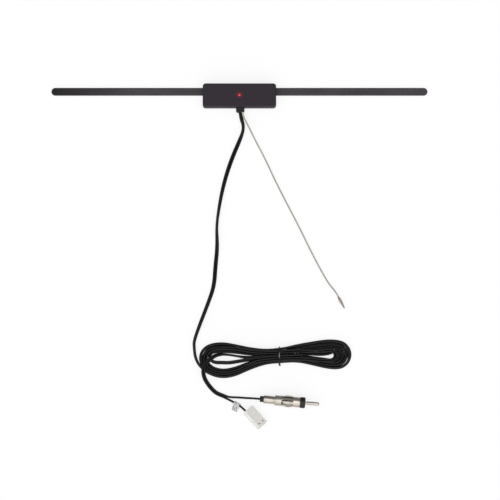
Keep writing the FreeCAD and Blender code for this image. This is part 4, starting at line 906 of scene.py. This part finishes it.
floor_glow = add(floor_white, "Emission")
floor_mix = add(floor_white, "MixShader")
join(floor_white, floor_rays.outputs["Is Camera Ray"], floor_seen.inputs[0])
join(floor_white, floor_rays.outputs["Is Glossy Ray"], floor_seen.inputs[1])
join(floor_white, floor_seen.outputs["Value"], floor_any.inputs[0])
join(floor_white, floor_rays.outputs["Is Transmission Ray"], floor_any.inputs[1])
join(floor_white, floor_any.outputs["Value"], floor_share.inputs[0])
join(floor_white, floor_share.outputs["Value"], floor_mix.inputs["Fac"])
join(floor_white, floor_shader.outputs["BSDF"], floor_mix.inputs[1])
join(floor_white, floor_glow.outputs["Emission"], floor_mix.inputs[2])
floor_surface = floor_white.node_tree.nodes["Material Output"].inputs["Surface"]
join(floor_white, floor_mix.outputs["Shader"], floor_surface)
floor_mesh.materials.append(floor_white)
floor = bpy.data.objects.new("studio_floor", floor_mesh)
bpy.context.scene.collection.objects.link(floor)

# Studio sky: pale round an axis that leans to the part's south, and dark in its north.
# A bright patch overhead gives the plated pieces and the black mouldings their highlights.
# Each lobe of light: its axis's lean, the cosines where it starts and is full, and its strength at both.
SKY_LOBE = (math.radians(35), 0.3, 0.92, 0.3, 1.62)
PATCH_LOBE = (math.radians(10), 0.93, 0.98, 0.0, 0.85)
sky = bpy.data.worlds.new("studio_sky")
sky.use_nodes = True
bpy.context.scene.world = sky
sky_light = sky.node_tree.nodes["Background"]
sky_way = add(sky, "TexCoord")
sky_sum = add(sky, "Math")
for number, (lean, edge, middle, dim, bright) in enumerate((SKY_LOBE, PATCH_LOBE)):
    along_axis = add(sky, "VectorMath")
    along_axis.operation = "DOT_PRODUCT"
    along_axis.inputs[1].default_value = (0, -math.sin(lean), math.cos(lean))
    fall = add(sky, "MapRange")
    fall.interpolation_type = "SMOOTHSTEP"
    fall.inputs["From Min"].default_value = edge
    fall.inputs["From Max"].default_value = middle
    fall.inputs["To Min"].default_value = dim
    fall.inputs["To Max"].default_value = bright
    join(sky, sky_way.outputs["Generated"], along_axis.inputs[0])
    join(sky, along_axis.outputs["Value"], fall.inputs["Value"])
    join(sky, fall.outputs["Result"], sky_sum.inputs[number])
join(sky, sky_sum.outputs["Value"], sky_light.inputs["Strength"])
sky_light.inputs["Color"].default_value = (1, 1, 1, 1)

# Camera: far off with a long lens, almost straight above and a little to the part's south.
# It frames the whole part as the photo does.
CAMERA_TARGET = Vector((10.1, -148.8, 0)) * MM
CAMERA_DISTANCE = 3.0
CAMERA_ELEVATION = math.radians(80)
VIEW_WIDTH = 0.47475
SENSOR = 36.0
NEAREST = 0.05
lens = bpy.data.cameras.new("camera")
lens.sensor_width = SENSOR
lens.lens = SENSOR * CAMERA_DISTANCE / VIEW_WIDTH
lens.clip_start = NEAREST
camera = bpy.data.objects.new("camera", lens)
camera_way = Vector((0, -math.cos(CAMERA_ELEVATION), math.sin(CAMERA_ELEVATION)))
camera.location = CAMERA_TARGET + camera_way * CAMERA_DISTANCE
camera.rotation_euler = (FULL_TURN / 4 - CAMERA_ELEVATION, 0, 0)
bpy.context.scene.collection.objects.link(camera)
bpy.context.scene.camera = camera
bpy.context.scene.view_settings.view_transform = "Standard"
